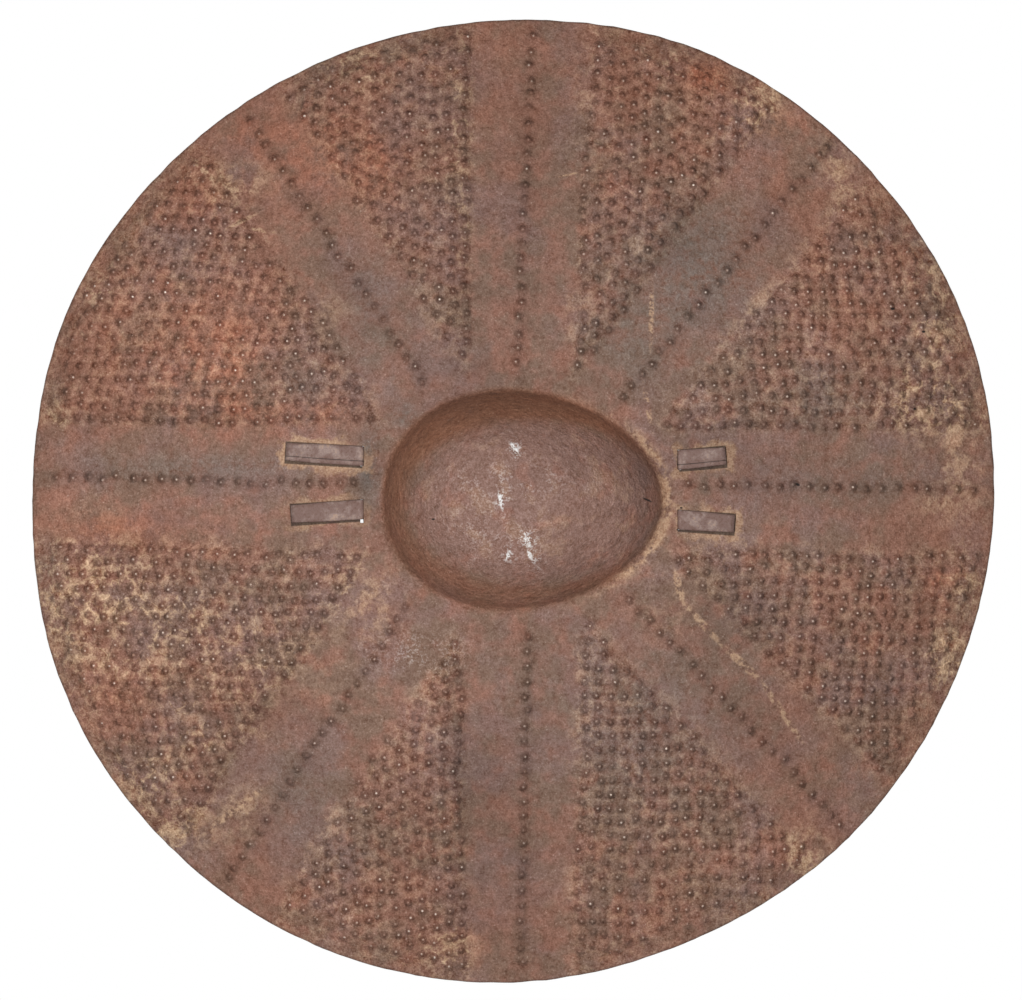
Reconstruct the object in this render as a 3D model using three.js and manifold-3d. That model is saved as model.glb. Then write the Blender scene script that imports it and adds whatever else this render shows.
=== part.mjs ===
// Iron dance shield: one beaten sheet with an egg-shaped fist boss, eight plain bands with a row of
// punch marks each, and eight swollen fields between them. Two forged straps cross the hollow of the
// boss at the back as the hand grip; their ends come out through slots and are folded down on the face.
// Millimetres. The sheet is drawn about its own centre, face towards -Y and +Z up. The finished group
// is then moved so that the middle of the hand grip lies at the origin.

import * as THREE from 'three';
import { mergeVertices } from 'three/addons/utils/BufferGeometryUtils.js';
import Module from 'manifold-3d';

// The sheet
const plateRadius = 280;
const sheetThickness = 1.6;
const crownRise = 20;

// The boss, its apex a little up and left of its middle, and the sunk ring around it
const bossLength = 161;
const bossWidth = 125;
const bossHeight = 50;
const bossMiddle = { x: 6, z: 0.5 };
const bossApex = { x: 1, z: 6 };
const bossPointShare = 0.12;
const moatWidth = 13;
const moatDepth = 1.5;

// The swollen fields, with the width of the slope at their edges and at their ends on the rim
const fieldRise = 3.4;
const edgeRun = 11;
const rimRun = 16;

// The punch marks: rows in the fields start this far inside the edges and end short of the rim, and every
// mark strays a little, as the smith sets the punch by eye. The plain back needs points at the wider pitch.
const punchHeight = 1.3;
const punchHalfWidth = 3.2;
const punchPitch = 9;
const rowPitch = 8.6;
const edgeInset = 4.2;
const rimBare = 10;
const punchStray = 0.6;
const backPitch = 24;

// The straps, and the slots that they come through
const strapWidth = 11.4;
const strapThickness = 1.8;
const slotReach = 92;
const slotSideClearance = 0.4;
const slotEndClearance = 1.4;
const tongueGap = 0.45;
const foldRadius = 1.2;
const gripMiddle = { x: 4.7, z: 8.5 };
const gripHalfLength = 36;
const gripSpacing = 22;
const gripStandOff = 16;
const shoulderDepth = 5;
const shoulderRadius = 5;
const gripBendRadius = 30;

// The straps' places, all as shares of the slots' reach. Heights are measured from the middle of the grip.
// A tongue is the end that is folded down on the face, and its rise is how far it climbs from its slot to
// its tip. Slack is a slot's spare length downwards.
const straps = [
  {
    name: 'upper_strap',
    side: 1,
    leftShares: { slotHeight: 0.19, tongueLength: 0.48, tongueRise: 0.029, slack: 0 },
    rightShares: { slotHeight: 0.167, tongueLength: 0.293, tongueRise: 0.025, slack: 0 },
  },
  {
    name: 'lower_strap',
    side: -1,
    leftShares: { slotHeight: -0.146, tongueLength: 0.446, tongueRise: -0.029, slack: 0.026 },
    rightShares: { slotHeight: -0.211, tongueLength: 0.348, tongueRise: -0.025, slack: 0 },
  },
];

// Places around the sheet, in degrees counter-clockwise from the right as the face is seen. Each field
// opens from one place on the boss's ring to two on the rim, and its rows of marks follow its first or its
// second edge. The band that comes next has its row of marks from one place on the ring to one on the rim.
const layout = [
  { apex: 36, rim: [8.5, 42.5], follows: 0, row: [51, 49] },
  { apex: 72, rim: [56, 81], follows: 1, row: [92, 87.5] },
  { apex: 110, rim: [94.5, 119.5], follows: 0, row: [127, 125] },
  { apex: 148, rim: [130.5, 171], follows: 1, row: [172, 177] },
  { apex: 201, rim: [184.5, 226.5], follows: 0, row: [226, 233] },
  { apex: 247, rim: [240, 265], follows: 1, row: [270.5, 270.5] },
  { apex: 292, rim: [277, 310], follows: 0, row: [312.5, 315] },
  { apex: 334, rim: [322.5, 354], follows: 1, row: [5.5, 1.5] },
];

// How far the hand-cut rim strays from the circle, at equal steps around it, as shares of the radius
const rimStrayShares = [
  0.003, 0.014, 0.015, 0.017, 0.002, -0.002, 0.002, 0.008,
  0, 0.014, 0.014, 0.012, 0.003, -0.012, -0.009, -0.007,
];

// Rings of the boss from its apex to its foot, as shares of the way, and the curve of its side
const bossRingShares = [0.22, 0.42, 0.59, 0.73, 0.84, 0.92, 0.97, 1];
const bossFullness = 2.3;
const bossShoulder = 0.72;
const bossSpokes = 60;
const moatSteps = 3;

// How close the points of the sheet's net may lie, as shares of their pitch: marks to marks, the low points
// between them to anything, points to the sunk ring's edge, and points on the back
const markGapShare = 0.75;
const lowGapShare = 0.42;
const loopGapShare = 0.75;
const backGapShare = 0.7;

// Steps along the rim as a share of its bare width, the least triangle that may be turned as a share of the
// square between marks, and the corners that all triangles start from as a share of the radius
const rimStepShare = 1.25;
const leastAreaShare = 0.12;
const farShare = 10;
const straySeed = 7;

const apexSplitDegrees = 1.5;
const bendSteps = 5;
const degree = Math.PI / 180;
const fullTurn = 2 * Math.PI;

// The rim's radius in a direction, smooth through the strays
function rimRadius(angle) {
  const count = rimStrayShares.length;
  const place = ((angle / fullTurn) * count + count) % count;
  const step = Math.floor(place);
  const t = place - step;
  const at = (offset) => rimStrayShares[(step + offset + count) % count];
  const [a, b, c, d] = [at(-1), at(0), at(1), at(2)];
  const stray = b + 0.5 * t * (c - a + t * (2 * a - 5 * b + 4 * c - d + t * (3 * (b - c) + d - a)));
  return plateRadius * (1 + stray);
}

function rimPoint(angle, inset) {
  const radius = rimRadius(angle) - inset;
  return { x: radius * Math.cos(angle), z: radius * Math.sin(angle) };
}

const fromRim = ({ x, z }) => rimRadius(Math.atan2(z, x)) - Math.hypot(x, z);

// The shallow crown of the whole sheet, nothing at the rim
function crownHeight(x, z) {
  const rim = rimRadius(Math.atan2(z, x));
  return crownRise * (1 - (x * x + z * z) / (rim * rim));
}

// A point on the egg that the boss stands on, grown outwards by a margin; its right end is the pointed one
function eggPoint(angle, margin) {
  const along = Math.cos(angle);
  const across = Math.sin(angle) * (1 - bossPointShare * along);
  return {
    x: bossMiddle.x + (bossLength / 2 + margin) * along,
    z: bossMiddle.z + (bossWidth / 2 + margin) * across,
  };
}

// Whether a place lies inside the sunk ring's outer edge
function isOnBoss({ x, z }) {
  const along = (x - bossMiddle.x) / (bossLength / 2 + moatWidth);
  const across = (z - bossMiddle.z) / (bossWidth / 2 + moatWidth) / (1 - bossPointShare * along);
  return along ** 2 + across ** 2 < 1;
}

const between = (a, b, t) => ({ x: a.x + (b.x - a.x) * t, z: a.z + (b.z - a.z) * t });
const gapBetween = (a, b) => Math.hypot(a.x - b.x, a.z - b.z);
const smooth = (t) => THREE.MathUtils.smoothstep(t, 0, 1);
const circleOf = (count) => Array.from({ length: count }, (_, i) => (fullTurn * i) / count);
const stepsUpTo = (end, first, step) => (
  Array.from({ length: Math.max(0, Math.ceil((end - first) / step)) }, (_, i) => first + i * step)
);

// A straight line over the sheet, with one side of it counted as inwards
function lineBetween(start, end, side) {
  const length = gapBetween(start, end);
  const way = { x: (end.x - start.x) / length, z: (end.z - start.z) / length };
  return { start, length, way, inward: { x: -side * way.z, z: side * way.x } };
}

const pointOn = ({ start, way, inward }, along, inset) => ({
  x: start.x + way.x * along + inward.x * inset,
  z: start.z + way.z * along + inward.z * inset,
});

const insetFrom = ({ start, inward }, { x, z }) => (x - start.x) * inward.x + (z - start.z) * inward.z;

const fields = layout.map(({ apex, rim, follows }) => {
  const [first, second] = [1, -1].map((side, i) => {
    const start = eggPoint((apex - (side * apexSplitDegrees) / 2) * degree, moatWidth);
    return lineBetween(start, rimPoint(rim[i] * degree, 0), side);
  });
  return follows === 0 ? { edge: first, farEdge: second } : { edge: second, farEdge: first };
});

const rows = layout.map(({ row: [onRing, onRim] }) => (
  lineBetween(eggPoint(onRing * degree, moatWidth), rimPoint(onRim * degree, 0), 1)
));

// How far the field at a place swells over the bands
function swell(place) {
  const insets = fields.map((field) => (
    Math.min(insetFrom(field.edge, place), insetFrom(field.farEdge, place))
  ));
  return fieldRise * smooth(Math.max(...insets) / edgeRun) * smooth(fromRim(place) / rimRun);
}

const feet = circleOf(bossSpokes).map((turn) => eggPoint(turn, 0));
const ringLoop = circleOf(bossSpokes).map((turn) => eggPoint(turn, moatWidth));
const rimTurns = circleOf(Math.ceil((fullTurn * plateRadius) / (rimStepShare * rimBare)));
const rimLoop = rimTurns.map((turn) => rimPoint(turn, 0));
const lastLowPoints = rimTurns.map((turn) => rimPoint(turn, rimBare / 2));

// Flat points between the sunk ring and the rim. The points of those two loops come first, and then low
// points just inside the rim.
class Net {
  constructor() {
    const longestStep = Math.max(...ringLoop.map((point, i) => gapBetween(point, ringLoop.at(i - 1))));
    const ring = ringLoop.map((point) => ({ ...point, room: loopGapShare * longestStep }));
    this.points = [...ring, ...rimLoop, ...lastLowPoints];
  }

  // Adds a point if the place is on the net and clear of the points that are there already
  add(place, gap, isMark = false) {
    if (isOnBoss(place) || fromRim(place) < rimBare) return;
    const leaves = (point) => gapBetween(point, place) >= Math.max(gap, point.room ?? 0);
    if (this.points.every(leaves)) this.points.push({ ...place, isMark });
  }

  addMark({ x, z }) {
    const stray = () => (2 * THREE.MathUtils.seededRandom() - 1) * punchStray;
    this.add({ x: x + stray(), z: z + stray() }, markGapShare * punchPitch, true);
  }
}

const marksAlong = (line) => stepsUpTo(line.length, punchPitch, punchPitch);

// Places in rows that follow a field's edge, from the first row and the first place given to its far edge
function placesInRows({ edge, farEdge }, firstInset, firstAlong) {
  return stepsUpTo(plateRadius, firstInset, rowPitch).flatMap((inset) => (
    stepsUpTo(plateRadius, firstAlong, punchPitch)
      .map((along) => pointOn(edge, along, inset))
      .filter((place) => insetFrom(farEdge, place) >= edgeInset)
  ));
}

// A row of marks down each band, one along each edge of a field, and rows that fill the field
function addMarks(net) {
  THREE.MathUtils.seededRandom(straySeed);
  for (const row of rows) marksAlong(row).forEach((along) => net.addMark(pointOn(row, along, 0)));
  for (const { edge, farEdge } of fields) {
    for (const [line, other] of [[edge, farEdge], [farEdge, edge]]) {
      for (const along of marksAlong(line)) {
        const place = pointOn(line, along, edgeInset);
        if (insetFrom(other, place) >= edgeInset) net.addMark(place);
      }
    }
    const inside = placesInRows({ edge, farEdge }, edgeInset + rowPitch, punchPitch);
    inside.forEach((place) => net.addMark(place));
  }
}

// Low points round each mark of a band, along the edges of the fields and in the gaps between their marks
function addLowPoints(net) {
  const gap = lowGapShare * punchPitch;
  for (const row of rows) {
    for (const along of marksAlong(row)) {
      net.add(pointOn(row, along, -punchHalfWidth), 0);
      net.add(pointOn(row, along, punchHalfWidth), 0);
      net.add(pointOn(row, along + punchPitch / 2, 0), 0);
    }
  }
  for (const { edge, farEdge } of fields) {
    for (const line of [edge, farEdge]) {
      for (const along of marksAlong(line)) net.add(pointOn(line, along - punchPitch / 2, 0), gap);
    }
    const gaps = placesInRows({ edge, farEdge }, edgeInset + rowPitch / 2, punchPitch / 2);
    gaps.forEach((place) => net.add(place, gap));
  }
}

// On the back: points along the edges of the fields and at the top of their slopes, and an even spread
function addBackPoints(net) {
  for (const { edge, farEdge } of fields) {
    for (const [line, other] of [[edge, farEdge], [farEdge, edge]]) {
      for (const along of stepsUpTo(line.length, backPitch, backPitch)) {
        const place = pointOn(line, along, edgeRun);
        net.add(pointOn(line, along, 0), backGapShare * edgeRun);
        if (insetFrom(other, place) >= edgeRun) net.add(place, backGapShare * edgeRun);
      }
    }
  }
  const spread = stepsUpTo(plateRadius, -plateRadius, backPitch);
  for (const x of spread) {
    for (const z of spread) net.add({ x, z }, backGapShare * backPitch);
  }
}

// A triangle of points with the circle through its corners
function circledTriangle(points, corners) {
  const [a, b, c] = corners.map((i) => points[i]);
  const [bx, bz, cx, cz] = [b.x - a.x, b.z - a.z, c.x - a.x, c.z - a.z];
  const [bb, cc, area] = [bx * bx + bz * bz, cx * cx + cz * cz, 2 * (bx * cz - bz * cx)];
  const [x, z] = [(cz * bb - bz * cc) / area, (bx * cc - cx * bb) / area];
  return { corners, middle: { x: a.x + x, z: a.z + z }, radius: Math.hypot(x, z) };
}

// Delaunay triangles: each point in turn opens the triangles whose circles hold it and fans across the gap
function triangulate(points) {
  const far = farShare * plateRadius;
  const corners = [{ x: -far, z: -far }, { x: far, z: -far }, { x: 0, z: far }];
  const all = [...points, ...corners];
  let triangles = [circledTriangle(all, corners.map((_, i) => points.length + i))];
  points.forEach((point, i) => {
    const sides = new Map();
    triangles = triangles.filter((triangle) => {
      if (gapBetween(triangle.middle, point) > triangle.radius) return true;
      triangle.corners.forEach((a, k, around) => {
        const b = around[(k + 1) % 3];
        if (!sides.delete(`${b} ${a}`)) sides.set(`${a} ${b}`, [a, b]);
      });
      return false;
    });
    sides.forEach(([a, b]) => triangles.push(circledTriangle(all, [a, b, i])));
  });
  const found = triangles.map((triangle) => triangle.corners);
  return found.filter((around) => Math.max(...around) < points.length);
}

// Twice a triangle's flat area, positive where its corners run counter-clockwise
function areaOf(points, corners) {
  const [a, b, c] = corners.map((i) => points[i]);
  return (b.x - a.x) * (c.z - a.z) - (b.z - a.z) * (c.x - a.x);
}

// Turns the shared side of two triangles where it would be a ridge from one mark to the next
function openRidges(triangles, points) {
  const owners = new Map();
  triangles.forEach((around, i) => around.forEach((a, k) => owners.set(`${a} ${around[(k + 1) % 3]}`, i)));
  const turned = new Set();
  const leastArea = leastAreaShare * punchPitch * rowPitch;
  triangles.forEach((around, i) => around.forEach((a, k) => {
    const [b, c] = [around[(k + 1) % 3], around[(k + 2) % 3]];
    const j = owners.get(`${b} ${a}`);
    if (j === undefined || turned.has(i) || turned.has(j)) return;
    const d = triangles[j].find((corner) => corner !== a && corner !== b);
    if (!points[a].isMark || !points[b].isMark || points[c].isMark || points[d].isMark) return;
    if (Math.min(areaOf(points, [c, a, d]), areaOf(points, [d, b, c])) < leastArea) return;
    triangles[i] = [c, a, d];
    triangles[j] = [d, b, c];
    turned.add(i).add(j);
  }));
  return triangles;
}

// Joins two neighbouring rings of points with triangles, counter-clockwise as the face is seen
function joinRings(triangles, inner, outer) {
  inner.forEach((a, i) => {
    const next = (i + 1) % inner.length;
    triangles.push([a, outer[i], outer[next]], [a, outer[next], inner[next]]);
  });
}

// One side of the sheet as the face shows it: the boss and the sunk ring in rings round the apex, then the
// net out to the rim
function makeSkin(net) {
  const points = [];
  const triangles = [];
  const add = ({ x, z }, height) => points.push(new THREE.Vector3(x, -crownHeight(x, z) - height, z)) - 1;
  const apex = add(bossApex, bossHeight);
  const rings = bossRingShares.map((share) => {
    const height = bossHeight * (1 - share ** bossFullness) ** bossShoulder;
    return feet.map((foot) => add(between(bossApex, foot, share), height));
  });
  for (let i = 1; i < moatSteps; i += 1) {
    const share = i / moatSteps;
    const depth = moatDepth * Math.sin(Math.PI * share);
    rings.push(feet.map((foot, k) => add(between(foot, ringLoop[k], share), -depth)));
  }
  const heightOf = (point) => swell(point) + (point.isMark ? punchHeight : 0);
  const netPoints = net.points.map((point) => add(point, heightOf(point)));
  rings.push(netPoints.slice(0, ringLoop.length));

  rings[0].forEach((a, i) => triangles.push([apex, a, rings[0][(i + 1) % rings[0].length]]));
  for (let k = 1; k < rings.length; k += 1) joinRings(triangles, rings[k - 1], rings[k]);
  const isOnRing = (i) => i < ringLoop.length;
  const isOnRim = (i) => !isOnRing(i) && i < ringLoop.length + rimLoop.length;
  for (const corners of openRidges(triangulate(net.points), net.points)) {
    const isOutside = corners.every(isOnRing) || corners.every(isOnRim);
    if (!isOutside) triangles.push(corners.map((i) => netPoints[i]));
  }
  return { points, triangles, rim: netPoints.filter((_, i) => isOnRim(i)) };
}

function geometryFrom(points, triangles) {
  const geometry = new THREE.BufferGeometry().setFromPoints(points);
  geometry.setIndex(triangles.flat());
  geometry.computeVertexNormals();
  return geometry;
}

// The whole sheet as one closed skin: the face, the back one thickness behind it, and the rim's edge
function sheetGeometry() {
  const faceNet = new Net();
  addMarks(faceNet);
  addLowPoints(faceNet);
  const backNet = new Net();
  addBackPoints(backNet);
  const face = makeSkin(faceNet);
  const back = makeSkin(backNet);
  const { normal } = geometryFrom(back.points, back.triangles).attributes;
  const behind = back.points.map((point, i) => (
    point.clone().addScaledVector(new THREE.Vector3().fromBufferAttribute(normal, i), -sheetThickness)
  ));
  const toBack = (i) => face.points.length + i;
  const triangles = [...face.triangles, ...back.triangles.map(([a, b, c]) => [a, c, b].map(toBack))];
  joinRings(triangles, face.rim, back.rim.map(toBack));
  return geometryFrom([...face.points, ...behind], triangles);
}

// Solids for cutting the slots
const wasm = await Module();
wasm.setup();

function solidOf(geometry) {
  const bare = geometry.clone();
  bare.deleteAttribute('normal');
  bare.deleteAttribute('uv');
  const merged = mergeVertices(bare);
  return new wasm.Manifold(new wasm.Mesh({
    numProp: 3,
    vertProperties: new Float32Array(merged.attributes.position.array),
    triVerts: new Uint32Array(merged.index.array),
  }));
}

function geometryOf(solid) {
  const mesh = solid.getMesh();
  const geometry = new THREE.BufferGeometry();
  geometry.setAttribute('position', new THREE.Float32BufferAttribute(mesh.vertProperties, 3));
  geometry.setIndex(Array.from(mesh.triVerts));
  geometry.computeVertexNormals();
  return geometry;
}

// Where the two ends of a strap cross the sheet, with each one's direction outwards
function strapEnds({ leftShares, rightShares }) {
  return [[leftShares, -1], [rightShares, 1]].map(([shares, outward]) => ({
    outward,
    x: gripMiddle.x + outward * slotReach,
    z: gripMiddle.z + shares.slotHeight * slotReach,
    tongueLength: shares.tongueLength * slotReach,
    tongueRise: shares.tongueRise * slotReach,
    slack: shares.slack * slotReach,
  }));
}

function slotCutter(end) {
  const width = strapThickness + 2 * slotSideClearance;
  const height = strapWidth + 2 * slotEndClearance + end.slack;
  const depth = crownRise + sheetThickness;
  const box = new THREE.BoxGeometry(width, depth, height);
  return box.translate(end.x, -crownHeight(end.x, end.z), end.z - end.slack / 2);
}

function plateGeometry() {
  let sheet = solidOf(sheetGeometry());
  for (const strap of straps) {
    for (const end of strapEnds(strap)) sheet = sheet.subtract(solidOf(slotCutter(end)));
  }
  return geometryOf(sheet);
}

// The middle line of a strap's end from the tip of its tongue to the start of the straight grip
function endCourse(end, side) {
  const lift = tongueGap + strapThickness / 2;
  const surface = (x, z) => -crownHeight(x, z) - lift;
  const tip = { x: end.x + end.outward * end.tongueLength, z: end.z + end.tongueRise };
  const waist = between(end, tip, 0.5);
  const back = -crownHeight(end.x, end.z) + sheetThickness + shoulderDepth;
  const gripX = gripMiddle.x + end.outward * gripHalfLength;
  const gripZ = gripMiddle.z + (side * gripSpacing) / 2;
  return [
    { point: new THREE.Vector3(tip.x, surface(tip.x, tip.z), tip.z), radius: 0 },
    { point: new THREE.Vector3(waist.x, surface(waist.x, waist.z), waist.z), radius: 0 },
    { point: new THREE.Vector3(end.x, surface(end.x, end.z), end.z), radius: foldRadius },
    { point: new THREE.Vector3(end.x, back, end.z), radius: shoulderRadius },
    { point: new THREE.Vector3(gripX, gripDepth(), gripZ), radius: gripBendRadius },
  ];
}

// The grip's middle line stands off behind the sheet as it is at the slots
function gripDepth() {
  return -crownHeight(gripMiddle.x + slotReach, gripMiddle.z) + sheetThickness + gripStandOff;
}

// A line through the corners given, each rounded with its own radius
function roundedLine(corners) {
  const line = [corners[0].point];
  for (let k = 1; k < corners.length - 1; k += 1) {
    const { point, radius } = corners[k];
    const into = new THREE.Vector3().subVectors(point, corners[k - 1].point).normalize();
    const away = new THREE.Vector3().subVectors(corners[k + 1].point, point).normalize();
    const turn = into.angleTo(away);
    if (radius === 0) {
      line.push(point);
      continue;
    }
    const start = point.clone().addScaledVector(into, -radius * Math.tan(turn / 2));
    const inward = away.clone().addScaledVector(into, -away.dot(into)).normalize();
    const middle = start.clone().addScaledVector(inward, radius);
    for (let i = 0; i <= bendSteps; i += 1) {
      const a = (turn * i) / bendSteps;
      line.push(middle.clone()
        .addScaledVector(inward, -radius * Math.cos(a))
        .addScaledVector(into, radius * Math.sin(a)));
    }
  }
  line.push(corners[corners.length - 1].point);
  return line;
}

// A flat bar swept along a line, its width kept as upright as the line allows
function sweptBar(line, width, thickness) {
  const up = new THREE.Vector3(0, 0, 1);
  const positions = [];
  line.forEach((point, i) => {
    const ahead = line[Math.min(i + 1, line.length - 1)];
    const behind = line[Math.max(i - 1, 0)];
    const along = new THREE.Vector3().subVectors(ahead, point).normalize()
      .add(new THREE.Vector3().subVectors(point, behind).normalize()).normalize();
    const wide = up.clone().addScaledVector(along, -up.dot(along)).normalize();
    const thick = new THREE.Vector3().crossVectors(along, wide);
    for (const [w, t] of [[-1, -1], [1, -1], [1, 1], [-1, 1]]) {
      const corner = point.clone()
        .addScaledVector(wide, (w * width) / 2)
        .addScaledVector(thick, (t * thickness) / 2);
      positions.push(corner.x, corner.y, corner.z);
    }
  });
  const triangles = [];
  for (let i = 1; i < line.length; i += 1) {
    for (let e = 0; e < 4; e += 1) {
      const [a, b] = [4 * (i - 1) + e, 4 * (i - 1) + ((e + 1) % 4)];
      triangles.push(a, b + 4, a + 4, a, b, b + 4);
    }
  }
  const last = 4 * (line.length - 1);
  triangles.push(0, 2, 1, 0, 3, 2, last, last + 1, last + 2, last, last + 2, last + 3);
  const geometry = new THREE.BufferGeometry();
  geometry.setAttribute('position', new THREE.Float32BufferAttribute(positions, 3));
  geometry.setIndex(triangles);
  geometry.computeVertexNormals();
  return geometry;
}

function strapGeometry(strap) {
  const [left, right] = strapEnds(strap).map((end) => endCourse(end, strap.side));
  return sweptBar(roundedLine([...left, ...right.reverse()]), strapWidth, strapThickness);
}

const rustedSheet = new THREE.MeshStandardMaterial({ color: 0x836558, roughness: 0.85, metalness: 0.35 });
const forgedStrap = new THREE.MeshStandardMaterial({ color: 0x6f584f, roughness: 0.75, metalness: 0.45 });

function named(name, geometry, material) {
  const mesh = new THREE.Mesh(geometry, material);
  mesh.name = name;
  return mesh;
}

const shield = new THREE.Group();
shield.add(named('plate', plateGeometry(), rustedSheet));
for (const strap of straps) shield.add(named(strap.name, strapGeometry(strap), forgedStrap));
shield.position.set(-gripMiddle.x, -gripDepth(), -gripMiddle.z);

export default shield;
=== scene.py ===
"""Iron dance shield: the looks of the beaten sheet and of the two forged grip straps, with a plain studio.

Everything is in metres in the packed frame: +Z up, the face towards -Y, and the origin at the middle of the
hand grip. Places on the sheet are written as (x, z) about the centre of the disc.
"""

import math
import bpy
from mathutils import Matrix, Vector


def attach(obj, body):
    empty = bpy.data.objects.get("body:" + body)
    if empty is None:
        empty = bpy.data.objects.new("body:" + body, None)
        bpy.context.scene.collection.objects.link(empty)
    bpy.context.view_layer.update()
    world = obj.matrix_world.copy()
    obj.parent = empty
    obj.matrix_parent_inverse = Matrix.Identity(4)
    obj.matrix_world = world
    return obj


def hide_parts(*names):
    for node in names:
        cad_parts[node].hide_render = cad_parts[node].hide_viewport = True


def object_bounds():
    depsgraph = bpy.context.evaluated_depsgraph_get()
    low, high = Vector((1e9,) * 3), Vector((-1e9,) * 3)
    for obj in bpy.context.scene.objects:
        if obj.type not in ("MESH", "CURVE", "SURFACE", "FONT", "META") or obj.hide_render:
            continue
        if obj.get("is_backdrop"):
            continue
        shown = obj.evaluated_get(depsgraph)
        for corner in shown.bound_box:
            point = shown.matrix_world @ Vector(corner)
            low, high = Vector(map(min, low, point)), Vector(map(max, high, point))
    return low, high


bl_info = {
    "name": "Iron dance shield",
    "version": (1, 0, 0),
    "blender": (4, 5, 0),
    "location": "3D View > Sidebar > Shield",
    "description": "Dresses a beaten iron dance shield and sets up a plain studio around it",
    "category": "Object",
}

from collections import namedtuple

import bmesh
import bpy
import numpy as np
from bpy.props import FloatProperty, FloatVectorProperty, IntProperty, PointerProperty
from bpy.types import Operator, Panel, PropertyGroup
from mathutils import Vector, noise
from mathutils.geometry import delaunay_2d_cdt
from mathutils.kdtree import KDTree

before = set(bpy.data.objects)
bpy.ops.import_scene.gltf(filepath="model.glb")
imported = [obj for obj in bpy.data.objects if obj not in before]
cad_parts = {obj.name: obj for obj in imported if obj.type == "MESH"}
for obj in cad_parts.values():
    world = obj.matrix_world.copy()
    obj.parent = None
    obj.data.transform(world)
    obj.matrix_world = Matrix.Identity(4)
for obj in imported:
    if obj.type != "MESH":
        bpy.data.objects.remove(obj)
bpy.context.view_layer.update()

# The picture: its size and the centre of the disc in it, in picture points, then the camera's sensor, how
# many times its distance it sees, the lamps' place beside and above the grip, and the half width of the
# floor
PICTURE_SIZE = (1022, 1000)
DISC_CENTRE = (512.5, 501)
SENSOR_WIDTH = 36
CLIP_SHARE = 4
LAMP_PLACE = (-0.06, 0.03)
FLOOR_REACH = 0.4

# The middle of the hand grip, seen from the centre of the disc
GRIP_MIDDLE = (0.0047, 0.0085)

# The boss: the middle of the egg that it stands on, its highest point, how pointed its right end is, how full
# and how steep it is, how it runs on below its foot, the fillet there, and the steps round the egg in degrees
BOSS_MIDDLE = (0.006, 0.0005)
BOSS_APEX = (0.001, 0.006)
BOSS_POINT_SHARE = 0.12
BOSS_FULLNESS = 2.3
BOSS_SHOULDER = 0.72
BOSS_FALL = 2
BOSS_FILLET = 0.0011
EGG_STEP = 0.5

# The paler top of the boss: its middle, its half sizes, and in shares of them its edge and the edge's
# softness
DOME_MIDDLE = (0.0119, -0.0011)
DOME_HALF_SIZES = (0.071, 0.046)
DOME_EDGE = 1.06
DOME_SOFTNESS = 0.2

# The boss's steep foot: deep brown rust with painted shade, strongest at the top; where it begins and over
# what, where it ends past the foot and over what, its level, what its shaded side adds, and where that side
# lies in degrees
FLANK_START = 0.98
FLANK_SOFTNESS = 0.14
FLANK_END = 0.8
FLANK_END_SOFTNESS = 0.006
FLANK_LEVEL = 0.80
FLANK_SHADE_SWING = 0.20
FLANK_SHADE_TOWARDS = 95

# Degrees between a field's two edges where they start on the sunk ring, and how far from the ring and from
# the rim its swell is full
APEX_SPLIT = 1.5
RING_FADE = 0.02
SWELL_RIM_FADE = 0.016

# Fields, in degrees counter-clockwise from the right as the face is seen: the place on the sunk ring where
# each opens, its two ends on the rim, and the edge that its rows of marks follow
Field = namedtuple("Field", "name apex low high follows")
FIELDS = (
    Field("right_upper", 36, 8.5, 42.5, "low"),
    Field("top_right", 72, 56, 81, "high"),
    Field("top_left", 110, 94.5, 119.5, "low"),
    Field("left_upper", 148, 130.5, 171, "high"),
    Field("left_lower", 201, 184.5, 226.5, "low"),
    Field("bottom_left", 247, 240, 265, "high"),
    Field("bottom_right", 292, 277, 310, "low"),
    Field("right_lower", 334, 322.5, 354, "high"),
)

# Bands: the row of marks down the middle of each, from its place on the sunk ring to its place on the rim
Band = namedtuple("Band", "name ring rim")
BANDS = (
    Band("upper_right", 53.6, 48.4),
    Band("top", 92, 87.5),
    Band("upper_left", 126.2, 124.6),
    Band("left", 174, 177),
    Band("lower_left", 226, 233),
    Band("bottom", 271.6, 270.9),
    Band("lower_right", 309.2, 315.4),
    Band("right", 7.6, 1.4),
)

# How far the hand-cut rim strays from the circle, at equal steps around it, as shares of the radius
RIM_STRAY_SHARES = (
    0.003, 0.014, 0.015, 0.017, 0.002, -0.002, 0.002, 0.008,
    0, 0.014, 0.014, 0.012, 0.003, -0.012, -0.009, -0.007,
)

# Punch marks: how far the outermost rows stay from a field's edge, the bare width at the rim, the width over
# which the marks fade towards it and what is left of them there, the least space between two, and how much of
# their height shows on the back
EDGE_INSET = 0.0042
RIM_BARE = 0.010
RIM_FADE = 0.012
RIM_SHARE = 0.3
LEAST_APART = 0.0056
BACK_MARK_SHARE = 0.7

# How far marks stray, how far rows wander over what length, and what keeps the two wanderings apart
BAND_STRAY = 0.0007
FIELD_STRAY = 0.0008
WARP = 0.0055
WARP_SCALE = 0.06
WARP_SHIFT = 100
WARP_LAYER = 5

# From what to what marks differ, in height, in the brightness of the tip's wear and painted highlight, in the
# darkness of the rust and painted shade round them and in their spacing, then how much wear changes them over
# what length
BAND_HEIGHTS = (0.6, 1.05)
BAND_TIPS = (0, 0.9)
BAND_DARKS = (0.3, 0.9)
FIELD_HEIGHTS = (0.55, 1.1)
FIELD_TIP_POWER = 1.5
FIELD_DARKS = (0.3, 1)
FIELD_SPACINGS = (0.94, 1.06)
MARK_WEAR = 0.6
TIP_WEAR = 2
WEAR_SCALE = 0.035

# How much of the face's patches shows on the back: the dust, the stains, the scuffs and painted sheen, and
# the painted shade and light
BACK_PATCH_SHARE = 0.35
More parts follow.
